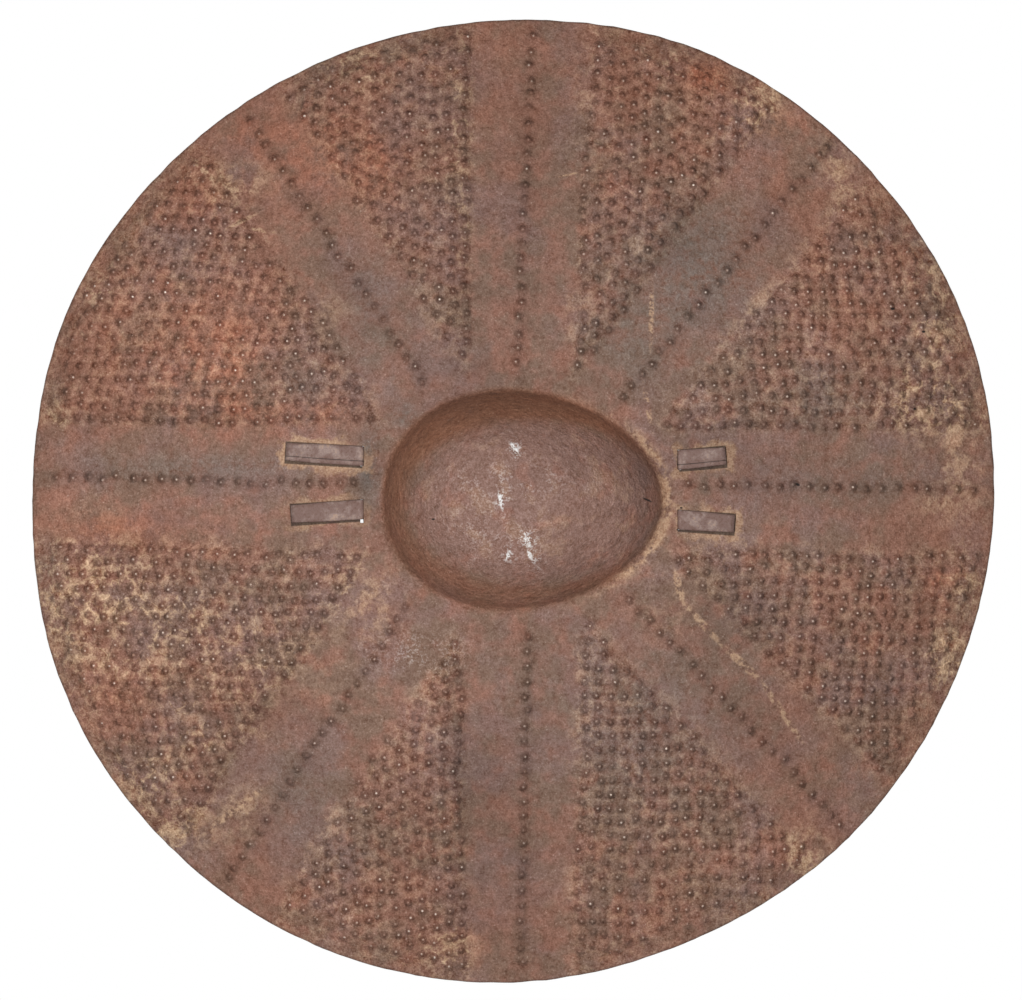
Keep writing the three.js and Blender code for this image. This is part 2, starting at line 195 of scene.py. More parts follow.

# What the rust is told of its place, with lengths in metres: the soft edge of a field and of the ledge beside
# it; the hills of dust and of painted shade and light about that edge, of painted shade along a band's
# middle and of dust at the boss's foot, each as its middle and half width; how strong the edge's dust and
# painted shade are on a level edge and what the edge's side towards the light adds; and how far from a mark
# it still counts, in shares of the mark's radius
FIELD_SOFTNESS = 0.006
LEDGE_SOFTNESS = 0.004
CREASE_HILL = (-0.002, 0.0038)
SLOPE_HILL = (0.004, 0.0045)
GROOVE_HILL = (0, 0.005)
FOOT_HILL = (0.0035, 0.003)
CREASE_LEVEL = 0.5
CREASE_LIT = 0.6
SLOPE_LEVEL = 0.03
SLOPE_LIT = -0.13
FOOT_DUST = 2.2
PUNCH_REACH = 1.2

# The warmer rust of the outer sheet: where it starts and over what, how strong it is and how much more so
# higher up, and the width of the dark line along the rim
OUTER_START = 0.13
OUTER_WIDTH = 0.13
OUTER_LEVEL = 0.32
OUTER_RISE = 0.4
RIM_DARK_WIDTH = 0.0024

# The hammer's unevenness: the widths of its large and small dents, the small ones' share and shift, how far
# from a folded strap they are full, and how often each is divided
DENT_WIDTH = 0.055
SMALL_DENT_WIDTH = 0.016
SMALL_DENT_SHARE = 0.35
SMALL_DENT_SHIFT = 7
TONGUE_CALM = 0.012
OCTAVES = 2

# A punch mark's shape: the share of its height that is the narrow point on the wide mound, and the breadth of
# that point as a share of the mound's
POINT_SHARE = 0.30
POINT_BREADTH = 0.3

# The net of points that carries the sheet's shape: rings round a mark, as shares of its radius with their
# counts of points, then rings over the boss and the sunk ring
FINE_MARK_RINGS = ((0.17, 6), (0.38, 8), (0.68, 8))
COARSE_MARK_RINGS = ((0.6, 6),)
BOSS_RING_SHARES = (
    0.05, 0.1, 0.15, 0.2, 0.25, 0.3, 0.35, 0.4, 0.45, 0.5, 0.55, 0.6, 0.65, 0.7, 0.745, 0.785,
    0.82, 0.85, 0.878, 0.903, 0.926, 0.945, 0.961, 0.975, 0.988, 1,
)
MOAT_RING_SHARES = (0.07, 0.15, 0.25, 0.38, 0.52, 0.68, 0.84, 1)

# The spacings between points, how much coarser the back is, and the fewest points of a loop; how far the
# points between marks stay from them in shares of a mark's radius, and how far out they are laid in shares
# of the sheet's; then the least step between points, the distance that welds two, and the step that finds a
# slope
BOSS_SPACING = 0.0026
FILLER_SPACING = 0.0034
COARSER = 2
LEAST_LOOP = 8
FILLER_CLEAR = 0.96
FILLER_REACH = 1.05
LEAST_STEP = 0.0004
WELD = 1e-7
NORMAL_STEP = 0.0004

# The rim: its steps, the ring of points inside it, how ragged it is and over what length, how far from it the
# dents are full, and its rounded lip
RIM_STEPS = 720
RIM_RING = 0.0016
RIM_RAGGED = 0.0007
RIM_RAG_WIDTH = 0.02
RIM_CALM = 0.02
LIP = 0.00045

# Slots as they are cut here, closer round the straps than in the plain solid: the gap beside and at the
# ends of a strap, the share of an end's slack that is open, steps along a side, and the room kept free of
# points
SLOT_SIDE = 0.00010
SLOT_END = 0.00006
SLOT_SLACK_SHARE = 0.8
SLOT_STEPS = 9
SLOT_CLEAR = 0.0009

# Straps: spacing of their sections, steps round a bend and the least turn that is one, how far the painted
# shadow round a folded end hangs below it, and the depth and width of the hammer's dents
STRAP_STEP = 0.0025
BEND_STEPS = 8
LEAST_TURN = 0.01
SHADOW_DROP = 0.0005
STRAP_DENT = 0.00004
STRAP_DENT_WIDTH = 0.007

# Folded ends: their narrowing and thinning, each over what length, how far the lap line reaches from an
# end, over what length it fades, and the share of the half width that it leaves alone at the edges
TIP_WIDTH_SHARE = 0.9
TIP_TAPER = 0.024
TIP_THINNING = 0.25
TIP_THIN_REACH = 0.004
LAP_REACH = 0.045
LAP_FADE = 0.01
SECTION_SIDE = 0.8

# Strap ends, with heights and lengths as shares of the slots' reach from the middle of the grip
StrapEnd = namedtuple("StrapEnd", "outward slot_height tongue_length tongue_rise slack")
Strap = namedtuple("Strap", "node side left right")
STRAPS = (
    Strap("upper_strap", 1, StrapEnd(-1, 0.19, 0.48, 0.029, 0), StrapEnd(1, 0.167, 0.293, 0.025, 0)),
    Strap(
        "lower_strap", -1, StrapEnd(-1, -0.146, 0.446, -0.029, 0.026), StrapEnd(1, -0.211, 0.348, -0.025, 0)
    ),
)
STRAP_ENDS = [end for strap in STRAPS for end in (strap.left, strap.right)]

MILLIMETRE = 0.001

# Patches of other colour in the rust, by kind: their place and how far they reach along x and z in
# millimetres, and how strong they are; a shade is painted shade, and one below 0 is painted light
PATCHES = {
    "orange": (
        (-170, 85, 50, 45, 0.6), (-120, 52, 45, 7, 0.6), (-175, 177, 22, 14, 0.5), (-78, 190, 12, 24, 0.5),
        (150, 222, 20, 14, 0.45), (112, 247, 16, 10, 0.9), (112, 220, 8, 12, 0.4), (60, 180, 15, 20, 0.35),
        (-110, 200, 30, 30, 0.45), (-155, 215, 15, 15, 0.4), (-235, -16, 20, 12, 0.35),
        (250, -45, 10, 6, 0.8), (-30, -260, 12, 12, 0.4), (-230, -110, 30, 20, 0.35),
        (-220, -20, 60, 12, 0.35),
    ),
    "dust": (
        (-158, 185, 16, 10, 0.8), (145, 228, 12, 12, 0.7), (-90, 252, 14, 9, 0.5), (254, -90, 12, 14, 0.7),
        (264, -50, 8, 10, 0.5), (-157, -178, 13, 12, 0.7), (-213, -159, 14, 14, 0.6),
        (-195, -71, 20, 14, 0.4), (189, 192, 8, 18, 0.9), (246, 100, 14, 50, 0.35), (240, 50, 16, 16, 0.9),
        (260, 20, 14, 30, 0.7), (-240, -60, 30, 35, 0.6), (-190, -190, 30, 12, 0.6),
        (-150, -95, 50, 30, 0.25), (-35, -262, 14, 10, 0.8), (90, -60, 14, 16, 0.45),
        (173, -204, 12, 15, 0.9), (-83, -60, 16, 20, 0.8), (-30, 205, 6, 60, 0.35),
        (-105, 110, 10, 10, 0.5), (-181, -138, 9, 7, 0.6), (-148, -133, 8, 6, 0.5), (-260, -68, 8, 10, 0.5),
        (245, -1, 10, 8, 0.5), (-193, -115, 8, 6, 0.4), (-265, 48, 7, 9, 0.4), (76, 17, 4, 10, 0.5),
        (-241, 120, 8, 8, 0.4), (-190, -192, 9, 8, 0.5), (93, 252, 8, 6, 0.5), (249, 102, 7, 8, 0.4),
        (100, -249, 12, 6, -0.4), (-84, 22, 6, 10, -0.4), (152, -205, 8, 8, -0.4),
    ),
    "slate": (
        (110, 135, 35, 40, 0.8), (70, 95, 25, 30, 0.5), (-85, 110, 20, 40, 0.5), (-126, 73, 18, 20, 0.6),
        (-83, 22, 7, 26, 0.9), (-64, 50, 10, 10, 0.9), (75, -130, 50, 50, 0.5), (-130, -170, 40, 30, 0.4),
        (180, 60, 40, 20, 0.4), (-180, 20, 75, 10, 0.7), (180, 12, 70, 16, 0.4), (-270, -40, 12, 18, 0.5),
    ),
    # Painted shade, and painted light where below 0, over the sheet and the boss
    "shade": (
        (262, 57, 7, 12, 0.12), (-125, -23, 10, 8, 0.12), (-221, -26, 10, 12, 0.1), (89, -16, 6, 10, 0.12),
        (-104, 112, 10, 10, 0.1), (94, 20, 7, 8, 0.1), (10, 0, 120, 220, 0.12), (-20, -190, 60, 70, 0.1),
        (-20, 160, 50, 90, 0.07), (-95, 105, 35, 35, 0.1), (145, -120, 50, 45, 0.14),
        (150, 18, 50, 24, 0.12), (10, 12, 35, 25, 0.1), (-20, 54, 40, 8, 0.15), (52, 46, 20, 10, -0.16),
        (60, -30, 18, 20, -0.2), (-160, 85, 30, 14, -0.15), (-100, -244, 22, 12, -0.18),
        (-245, 0, 20, 10, -0.18), (177, 105, 20, 20, -0.14), (-57, -126, 14, 14, -0.15),
        (4, -60, 30, 6, -0.15), (254, -90, 14, 14, -0.15), (266, 40, 10, 20, -0.15),
        (-138, -117, 22, 16, 0.2), (-85, 21, 8, 20, 0.28), (123, -68, 26, 18, 0.2), (-29, 80, 20, 14, 0.22),
        (108, 30, 28, 12, 0.2), (220, 80, 16, 22, 0.14), (-25, -154, 18, 20, 0.14),
        (100, 152, 20, 20, 0.14), (-222, -30, 24, 12, 0.14), (12, 200, 20, 50, 0.1),
        (-8, -190, 18, 50, 0.1), (-94, -15, 20, 20, 0.12), (-150, -160, 40, 40, 0.1),
        (-260, -70, 45, 80, -0.2), (-200, 100, 55, 50, -0.12), (150, 220, 50, 35, -0.18),
        (230, 110, 40, 60, -0.1), (130, -215, 40, 30, -0.06),
    ),
    # The pale scuffs; the two broad, weak ones at (2, 12) and (-12, -14) are painted sheen over the boss's
    # top
    "scuff": (
        (1.5, 30, 3, 5, 0.9), (-6, -1, 3, 5, 0.9), (9, -22, 4, 5, 1), (14, -36, 3, 5, 0.7),
        (-2, -31, 3, 4, 0.8), (2, 12, 30, 8, 0.22), (-12, -14, 24, 18, 0.14), (-55, -88, 24, 10, 0.2),
    ),
}

# Which way a field's edge runs where its slope faces up and left, towards the light: there it gets painted
# light and more dust, and a slope facing the other way gets painted shade and less dust
LIGHT_SIDE = (0.8, 0.6)

# How strongly fine grain shows in red, green and blue, so that it looks grey on the brown
FINE_TINT = (0.82, 1.07, 1.24)

# Thin lines and small holes in the sheet, by kind: their two ends and their half width, in millimetres
STREAKS = {
    "dust": (
        (94, -41, 99, -59, 2.6), (99, -59, 122, -84, 2.4), (122, -84, 144, -104, 2.8),
        (144, -104, 169, -141, 2.4), (81, 125, 80, 87, 1.8), (76, 68, 81, 41, 1.8),
        (-180, -194, -141, -164, 2.6), (26, 188, 39, 191, 0.7), (-187, 200, -172, 184, 2),
        (-170, 186, -156, 178, 2.2), (-166, 158, -149, 167, 1.6), (-155, 159, -138, 156, 1.4),
        (-210, -180, -193, -196, 2.2), (225, 42, 230, 82, 3.4),
    ),
    "scuff": (
        (-0.5, 33, 2.8, 27, 1.4), (-7.8, 5, -5.6, -4.8, 1.4), (7.5, -21.5, 10, -26.5, 1.7),
        (9, -29, 10.8, -33, 1.3), (-1.6, -29, -3.6, -33.5, 1.2),
    ),
    "hole": (
        (75.2, 1.8, 80.8, -0.6, 0.6), (-46.2, -10.5, -45.2, -10.5, 0.6), (97.5, -4, 98.3, -4, 0.6),
        (95.6, -16.6, 96.4, -16.6, 0.6), (220.3, 111.7, 221.5, 111.7, 0.9), (238.4, 98.4, 239.4, 98.4, 0.8),
        (233.3, 53.5, 234.1, 53.5, 0.7), (164.8, 9.9, 166.2, 9.3, 0.9),
    ),
}

# The part of a streak's half width that is full, and where it has faded out
STREAK_FULL = 0.5
STREAK_END = 1.15

# The rust's noises: how far each is moved so that no two match, the width of its lumps in metres, its detail,
# its roughness and its distortion
Noise = namedtuple("Noise", "shift width detail roughness distortion", defaults=(0,))
RUST_NOISES = {
    "cloud": Noise((0, 0, 0), 0.045, 4, 0.6),
    "mottle": Noise((0.3, 0, 0.1), 0.014, 5, 0.6),
    "fleck": Noise((0.6, 0, 0.2), 0.0050, 3, 0.6),
    "grain": Noise((0, 0, 0.7), 0.0024, 3, 0.6),
    "speck": Noise((0.5, 0, 0.5), 0.00095, 2, 0.6),
    "hue": Noise((0.9, 0, 0), 0.012, 2, 0.5),
    "drift": Noise((0.4, 0, 0.8), 0.032, 3, 0.55),
    "wander": Noise((0.7, 0, 0.3), 0.012, 2, 0.5, 0.25),
}
STRAP_NOISES = {
    "mottle": Noise((0, 0, 0), 0.007, 4, 0.6),
    "grain": Noise((0.2, 0, 0.6), 0.0016, 3, 0.6),
}
NOISE_MIDDLE = 0.5

# How noises add up: the share of the stronger of two, what breaks up the stains, and what makes the bumps
# of the rust and of the straps
MOSTLY = 0.6
BREAK_UP_SHARES = (0.55, 0.35, 0.1)
RUST_BUMP_SHARES = (0.6, 1.2, 1.4, 0.25)
STRAP_BUMP_SHARES = (0.6, 0.8)

# The stains of the rust: where each begins and is full, on the noise or the distance that shapes it, and how
# strong it is; distances to a mark are in shares of its radius, the others in metres
Stain = namedtuple("Stain", "start full strength", defaults=(1,))
STAINS = {
    "brown": Stain(0.42, 0.58),
    "mauve": Stain(0.44, 0.66, 0.7),
    "russet": Stain(0.50, 0.66),
    "brick": Stain(0.30, 0.60),
    "orange": Stain(0.36, 0.62),
    "slate": Stain(0.34, 0.58),
    "crease": Stain(0.44, 0.60),
    "dust": Stain(0.44, 0.58),
    "net": Stain(0.85, 1.20),
    "vein": Stain(0.034, 0.008),
    "vein_apart": Stain(0.45, 0.8),
    "vein_broken": Stain(0.40, 0.52),
    "dome": Stain(0.26, 0.46),
    "dome_clay": Stain(0.50, 0.60, 0.22),
    "dome_orange": Stain(0.52, 0.62, 0.18),
    "flank": Stain(0.20, 0.46),
    "uneven": Stain(0.40, 0.58),
    "halo_inside": Stain(0.04, 0.28),
    "halo_outside": Stain(1.25, 0.60),
    "rubbed": Stain(0.24, 0.07),
    "glints": Stain(0.66, 0.76, 0.3),
    "thin": Stain(0.50, 0.58),
    "thin_broken": Stain(0.40, 0.54),
    "dust_line": Stain(0.44, 0.55),
    "scuff_line": Stain(0.42, 0.50),
    "border": Stain(0.0050, 0.0012),
    "border_broken": Stain(0.38, 0.56),
    "seam": Stain(0.0009, 0.0002),
    "mound": Stain(1.0, 0.1),
    "strap_worn": Stain(0.44, 0.66, 0.6),
    "strap_umber": Stain(0.52, 0.66, 0.6),
    "strap_dust": Stain(0.56, 0.66, 0.35),
    "strap_lap": Stain(0.3, 0.9, 0.75),
    "strap_smooth": Stain(0.42, 0.66),
}

# How strong the layers are that two or more masks shape, and how a few of them change between band and field
DUST_STRENGTH = 0.85
CREASE_STRENGTH = 0.5
NET_STRENGTH = 0.62
VEIN_STRENGTH = 0.8
DOME_STRENGTH = 0.85
FLANK_STRENGTH = 0.85
HALO_STRENGTH = 0.60
HALO_EVEN_SHARE = 0.4
TIP_WEAR_AND_HIGHLIGHT_STRENGTH = 0.8
DUST_LINE_STRENGTH = 0.75
BORDER_STRENGTH = 0.8
SEAM_STRENGTH = 0.8
RUSSET_IN_BAND = 0.42
RUSSET_IN_FIELD = 0.15
NET_DUST = (1.6, 0.25)
VEIN_DUST = (1.8, 0.15)
MARK_RAG = 0.5
HALO_TINT = (0.38, 0.31, 0.27)
BORDER_WANDER = 0.022
BORDER_FRAY = 0.010

# How dark the painted shade is along a band's middle, how dark the sheet is at the rim, how far mottles
# change it, and how strong the fine grain is, in a band and what a field adds
GROOVE_SHADE = 0.10
RIM_SHADE = 0.45
MOTTLE_SWING = 0.4
SPECK_SWING = 1.8
GRAIN_SWING = 1.3
GRAIN_IN_BAND = 0.85
GRAIN_IN_FIELD = 0.2
FLECK_IN_BAND = 0.75
FLECK_IN_FIELD = 0.6
STRAP_GRAIN_SWING = 1.6

# The height of bumps in metres, of the sheet's rust, of the mound of a mark and of the straps' scale, and
# their strengths
RUST_BUMP = 0.0014
RUST_BUMP_STRENGTH = 0.8
MOUND_BUMP = 0.0009
STRAP_BUMP = 0.0006
STRAP_BUMP_STRENGTH = 0.5

# How dull, how metallic and how glossy the rust and the straps are, and what wear changes
RUST_ROUGHNESS = 0.80
RUST_METALLIC = 0.12
RUST_SPECULAR = 0.35
WORN_SHARE = 0.6
WORN_CHANGE = 0.3
MOTTLE_GLOSS = 0.1
STRAP_ROUGHNESS = 0.8
STRAP_METALLIC = 0.15
STRAP_SPECULAR = 0.3

# The paper of the floor: its colour and its own light, so that the camera sees it as white
PAPER = (0.9, 0.9, 0.9, 1)
PAPER_GLOW = 0.45
WHITE = (1, 1, 1, 1)

# Screen colours to linear light: the straight part's limit and slope, then the curve's offset and power
STRAIGHT_LIMIT = 0.04045
STRAIGHT_SLOPE = 12.92
CURVE_OFFSET = 0.055
CURVE_POWER = 2.4


def paint(red, green, blue):
    """A colour given as it shows on a screen, 0 to 255, in the scene's linear light"""
    linear = []
    for share in (red / 255, green / 255, blue / 255):
        if share <= STRAIGHT_LIMIT:
            linear.append(share / STRAIGHT_SLOPE)
        else:
            linear.append(((share + CURVE_OFFSET) / (1 + CURVE_OFFSET)) ** CURVE_POWER)
    return tuple(linear)


def colour_property(name, description, shown):
    return FloatVectorProperty(
        name=name, description=description, subtype="COLOR", size=3, min=0, max=1, default=paint(*shown)
    )


def length_property(name, description, metres):
    return FloatProperty(
        name=name, description=description, unit="LENGTH", precision=5, min=0, default=metres
    )


def power_property(name, description, watts):
    return FloatProperty(name=name, description=description, unit="POWER", default=watts)


class ShieldSheetSizes(PropertyGroup):
    """Sizes of the beaten sheet"""

    radius: length_property("Radius", "From the disc's centre to the rim, before the rim strays", 0.28)
    thickness: length_property("Thickness", "Of the iron sheet", 0.0016)
    crown_rise: length_property("Crown", "How far the middle of the sheet stands before its rim", 0.020)
    boss_length: length_property("Boss length", "Of the boss's foot, left to right", 0.161)
    boss_width: length_property("Boss width", "Of the boss's foot, top to bottom", 0.125)
    boss_height: length_property("Boss height", "From the sheet's crown to the boss's top", 0.050)
    moat_width: length_property("Moat width", "Of the sunk ring round the boss", 0.013)
    moat_depth: length_property("Moat depth", "Of the sunk ring round the boss", 0.0015)
    field_rise: length_property("Field rise", "How far the punched fields swell over the bands", 0.0034)
    edge_run: length_property("Edge run", "Width of the slope at a field's edge", 0.011)
    mark_height: length_property("Mark height", "Of a punch mark", 0.0025)
    mark_radius: length_property("Mark radius", "Of a punch mark, to where it fades out", 0.0039)
    row_pitch: length_property("Row pitch", "Between rows of marks in a field", 0.0077)
    mark_pitch: length_property("Mark pitch", "Between marks along a row of a field", 0.0080)
    band_pitch: length_property("Band pitch", "Between marks down the middle of a band", 0.00865)
    dents: length_property("Dents", "Depth of the hammer's unevenness", 0.0009)
    seed: IntProperty(name="Seed", description="Picks the stray of the marks", default=7)


class ShieldStrapSizes(PropertyGroup):
    """Sizes of the two forged grip straps and of their slots"""

    width: length_property("Width", "Of a strap", 0.0114)
    thickness: length_property("Thickness", "Of a strap", 0.0018)
    slot_reach: length_property("Slot reach", "From the middle of the grip to a slot", 0.092)
    tongue_gap: length_property("Tongue gap", "Between a folded end and the sheet", 0.00045)
    fold_radius: length_property("Fold radius", "Where the strap turns down on the face", 0.0012)
    grip_half_length: length_property("Grip half length", "From the middle to the grip's bend", 0.036)
    grip_spacing: length_property("Grip spacing", "Between the straps' middle lines at the grip", 0.022)
    grip_stand_off: length_property("Grip stand-off", "From the sheet's back to the grip", 0.016)
    shoulder_depth: length_property("Shoulder depth", "From the sheet's back to the strap's shoulder", 0.005)
    shoulder_radius: length_property("Shoulder radius", "Where the strap turns towards the grip", 0.005)
    grip_bend_radius: length_property("Grip bend", "Where the straight grip begins", 0.030)


class ShieldColours(PropertyGroup):
    """Colours of the rust, the dust and the forged straps"""

    brown: colour_property("Brown rust", "The sheet's main colour", (140, 102, 87))
    olive: colour_property("Olive rust", "The duller, greener rust", (126, 99, 84))
    russet: colour_property("Russet rust", "The redder rust", (146, 98, 80))
    brick: colour_property("Brick rust", "The warmer rust towards the rim", (150, 99, 76))
    mauve: colour_property("Mauve scale", "The greyer rust of worn places", (133, 105, 98))
    umber: colour_property("Umber rust", "The darkest rust, in flecks on the straps", (92, 68, 58))
    orange: colour_property("Orange rust", "Fresh rust in patches", (164, 98, 72))
    clay: colour_property("Clay rust", "Paler rust between the marks", (180, 148, 118))
    vein: colour_property("Veins", "Thin lines of dust between the marks", (200, 166, 134))
    dome: colour_property("Boss rust", "The mauve rust on the boss's top", (138, 105, 94))
    # Also painted shade on the boss's steep foot, strongest at the top
    flank: colour_property("Flank rust", "Deep brown rust round the boss's foot", (134, 88, 64))
    dust: colour_property("Dust", "Tan dust in creases and hollows", (184, 149, 120))
    slate: colour_property("Slate", "Dull grey-green patches", (112, 101, 93))
    # Also the painted highlight on the marks' tips and the painted glints on fine specks
    tip: colour_property("Worn tip", "The rubbed tips of the marks", (196, 176, 162))
    # Also painted sheen over the boss's top
    scuff: colour_property("Scuff", "Pale scuffs on the boss", (214, 208, 204))
    # Also the painted shadow round the folded ends and the painted shade along the straps' lap line
    soot_and_shadow: colour_property("Soot", "Inside cracks, pinholes and seams", (30, 22, 19))
    strap: colour_property("Strap", "The forged straps", (122, 98, 91))
    strap_worn: colour_property("Worn strap", "Rubbed places on the straps", (156, 138, 131))


class ShieldStage(PropertyGroup):
    """Camera, lamps and floor"""

    picture_scale: FloatProperty(
        name="Scale",
        description="Width of one picture point at the rim's plane, in millimetres",
        default=0.582,
    )
    camera_distance: length_property("Camera distance", "From the plane of the rim", 5)
    lamp_distance: length_property("Lamp distance", "From the plane of the rim", 0.72)
    lamp_width: length_property("Lamp width", "Of each soft lamp", 0.16)
    lamp_power: power_property("Lamp power", "Of the lamp before the face", 5.0)
    back_power: power_property("Back lamp power", "Of the lamp behind", 2.5)
    fill: FloatProperty(name="Fill", description="Strength of the light from all round", default=0.10)
    floor_drop: length_property("Floor drop", "From the rim's lowest point to the floor", 0.05)


def unit(vector):
    return vector / np.linalg.norm(vector)


def cross(a, b):
    """Area spanned by flat vectors, positive where b lies counter-clockwise of a"""
    return a[..., 0] * b[..., 1] - a[..., 1] * b[..., 0]


def directions(angles):
    """Unit vectors at angles counter-clockwise from the right"""
    return np.stack((np.cos(angles), np.sin(angles)), axis=-1)


def polar(vectors):
    """Lengths and angles of flat vectors"""
    return np.hypot(vectors[:, 0], vectors[:, 1]), np.arctan2(vectors[:, 1], vectors[:, 0])


def smooth(values):
    t = np.clip(values, 0, 1)
    return t * t * (3 - 2 * t)


def share_of_way(points, start, outline):
    """Where points lie on the way from start to the outline around it: 0 at start, 1 on the outline"""
    spokes, turns = polar(outline - start)
    away, ways = polar(points - start)
    reach = np.interp(ways, turns, spokes, period=math.tau)
    return away / reach, reach


def hill(values, middle, half_width):
    """A soft hill over values: 1 at its middle, about a third at its half width"""
    return np.exp(-(((values - middle) / half_width) ** 2))


def rough(points, width):
    """Smooth unevenness between about -1 and 1 whose largest lumps have the width given"""
    return np.array([noise.fractal(Vector((x, z, 0)) / width, 1, 2, OCTAVES) for x, z in points.tolist()])


class SheetForm:
    """The beaten face's height over the plane of the rim"""

    def __init__(self, sizes):
        self.sizes = sizes
        turns = np.radians(np.arange(0, 360, EGG_STEP))
        self.apex = np.array(BOSS_APEX)
        self.middle = np.array(BOSS_MIDDLE)
        self.foot = self.egg(turns, 0)
        self.ring = self.egg(turns, sizes.moat_width)
        self.edges = {field.name: self.field_edges(field) for field in FIELDS}

    def rim(self, angles):
        """The rim's radius in each direction, smooth through the strays"""
        strays = np.array(RIM_STRAY_SHARES)
        count = len(strays)
        place = np.asarray(angles) / math.tau * count
        step = np.floor(place).astype(int)
        t = place - step
        a, b, c, d = (strays[(step + k) % count] for k in (-1, 0, 1, 2))
        stray = b + 0.5 * t * (c - a + t * (2 * a - 5 * b + 4 * c - d + t * (3 * (b - c) + d - a)))
        return self.sizes.radius * (1 + stray)

    def rim_point(self, degrees, inset=0):
        angle = math.radians(degrees)
        return (self.rim(angle) - inset) * directions(angle)

    def to_rim(self, points):
        """Distance from each point to the rim, along its radius"""
        away, turns = polar(points)
        return self.rim(turns) - away

    def egg(self, turns, margin):
        """Points on the egg that the boss stands on, grown outwards by a margin"""
        along = np.cos(turns)
        across = np.sin(turns) * (1 - BOSS_POINT_SHARE * along)
        x = BOSS_MIDDLE[0] + (self.sizes.boss_length / 2 + margin) * along
        z = BOSS_MIDDLE[1] + (self.sizes.boss_width / 2 + margin) * across
        return np.stack((x, z), axis=-1)

    def field_edges(self, field):
        """The field's two straight edges, each as its start on the sunk ring and its direction outwards"""
        edges = []
        for degrees, side in ((field.low, -1), (field.high, 1)):
            start = self.egg(math.radians(field.apex + side * APEX_SPLIT / 2), self.sizes.moat_width)
            edges.append((start, unit(self.rim_point(degrees) - start)))
        return edges

    def inside_edges(self, points, field):
        """Distances inwards from the field's low and high edge"""
        (low_start, low_way), (high_start, high_way) = self.edges[field.name]
        return cross(low_way, points - low_start), -cross(high_way, points - high_start)

    def past_ring(self, points):
        """Distance outwards from the outer edge of the sunk ring"""
        share, reach = share_of_way(points, self.middle, self.ring)
        return (share - 1) * reach

    def crown(self, points):
        away, turns = polar(points)
        return self.sizes.crown_rise * (1 - (away / self.rim(turns)) ** 2)

    def boss(self, points):
        """The boss and the sunk ring round it, with a fillet between them"""
        sizes = self.sizes
        share, reach = share_of_way(points, self.apex, self.foot)
        dome = sizes.boss_height * (1 - np.minimum(share, 1) ** BOSS_FULLNESS) ** BOSS_SHOULDER
        dome -= np.maximum(share - 1, 0) * reach * BOSS_FALL
        share, reach = share_of_way(points, self.middle, self.foot)
        into_moat = np.clip((share - 1) * reach / sizes.moat_width, 0, 1)
        moat = -sizes.moat_depth * np.sin(np.pi * into_moat)
        return BOSS_FILLET * np.logaddexp(dome / BOSS_FILLET, moat / BOSS_FILLET)

    def between_ring_and_rim(self, points):
        """1 over most of the way from the sunk ring to the rim, falling to 0 at both"""
        return smooth(self.past_ring(points) / RING_FADE) * smooth(self.to_rim(points) / SWELL_RIM_FADE)

    def swell(self, points):
        """How far the fields rise over the bands"""
        sizes = self.sizes
        total = np.zeros(len(points))
        ends = self.between_ring_and_rim(points)
        for field in FIELDS:
            low, high = self.inside_edges(points, field)
            total += smooth(np.minimum(low, high) / sizes.edge_run) * sizes.field_rise * ends
        return total

    def height(self, points):
        return self.crown(points) + self.boss(points) + self.swell(points)

    def lift(self, flat, height):
        """Points of the packed frame for flat places and heights over the plane of the rim"""
        x = flat[:, 0] - GRIP_MIDDLE[0]
        z = flat[:, 1] - GRIP_MIDDLE[1]
        return np.stack((x, self.rim_depth - height, z), axis=-1)

    @property
    def rim_depth(self):
        """The plane of the rim in the packed frame, whose origin is in the grip"""
        straps = bpy.context.scene.shield_straps
        slot = np.array([[GRIP_MIDDLE[0] + straps.slot_reach, GRIP_MIDDLE[1]]])
        return float(self.crown(slot)[0]) - self.sizes.thickness - straps.grip_stand_off


# One punch mark: its place, its height and the radius at which it fades out, how bright its tip is with wear
# and painted highlight, and how dark the rust and painted shade lie round it
Mark = namedtuple("Mark", "x z height radius tip dark")


def row_of_marks(form, band, rng):
    """The marks down the middle of a band, from the sunk ring to the rim"""
    sizes = form.sizes
    start = form.egg(math.radians(band.ring), sizes.moat_width + sizes.band_pitch / 2)
    end = form.rim_point(band.rim, inset=RIM_BARE)
    length = np.linalg.norm(end - start)
    marks = []
    for i in range(round(length / sizes.band_pitch) + 1):
        place = start + (end - start) * min(i * sizes.band_pitch / length, 1)
        place = place + rng.normal(0, BAND_STRAY, 2)
        height = sizes.mark_height * rng.uniform(*BAND_HEIGHTS)
        tip, dark = rng.uniform(*BAND_TIPS), rng.uniform(*BAND_DARKS)
        marks.append(Mark(*place, height, sizes.mark_radius, tip, dark))
    return marks


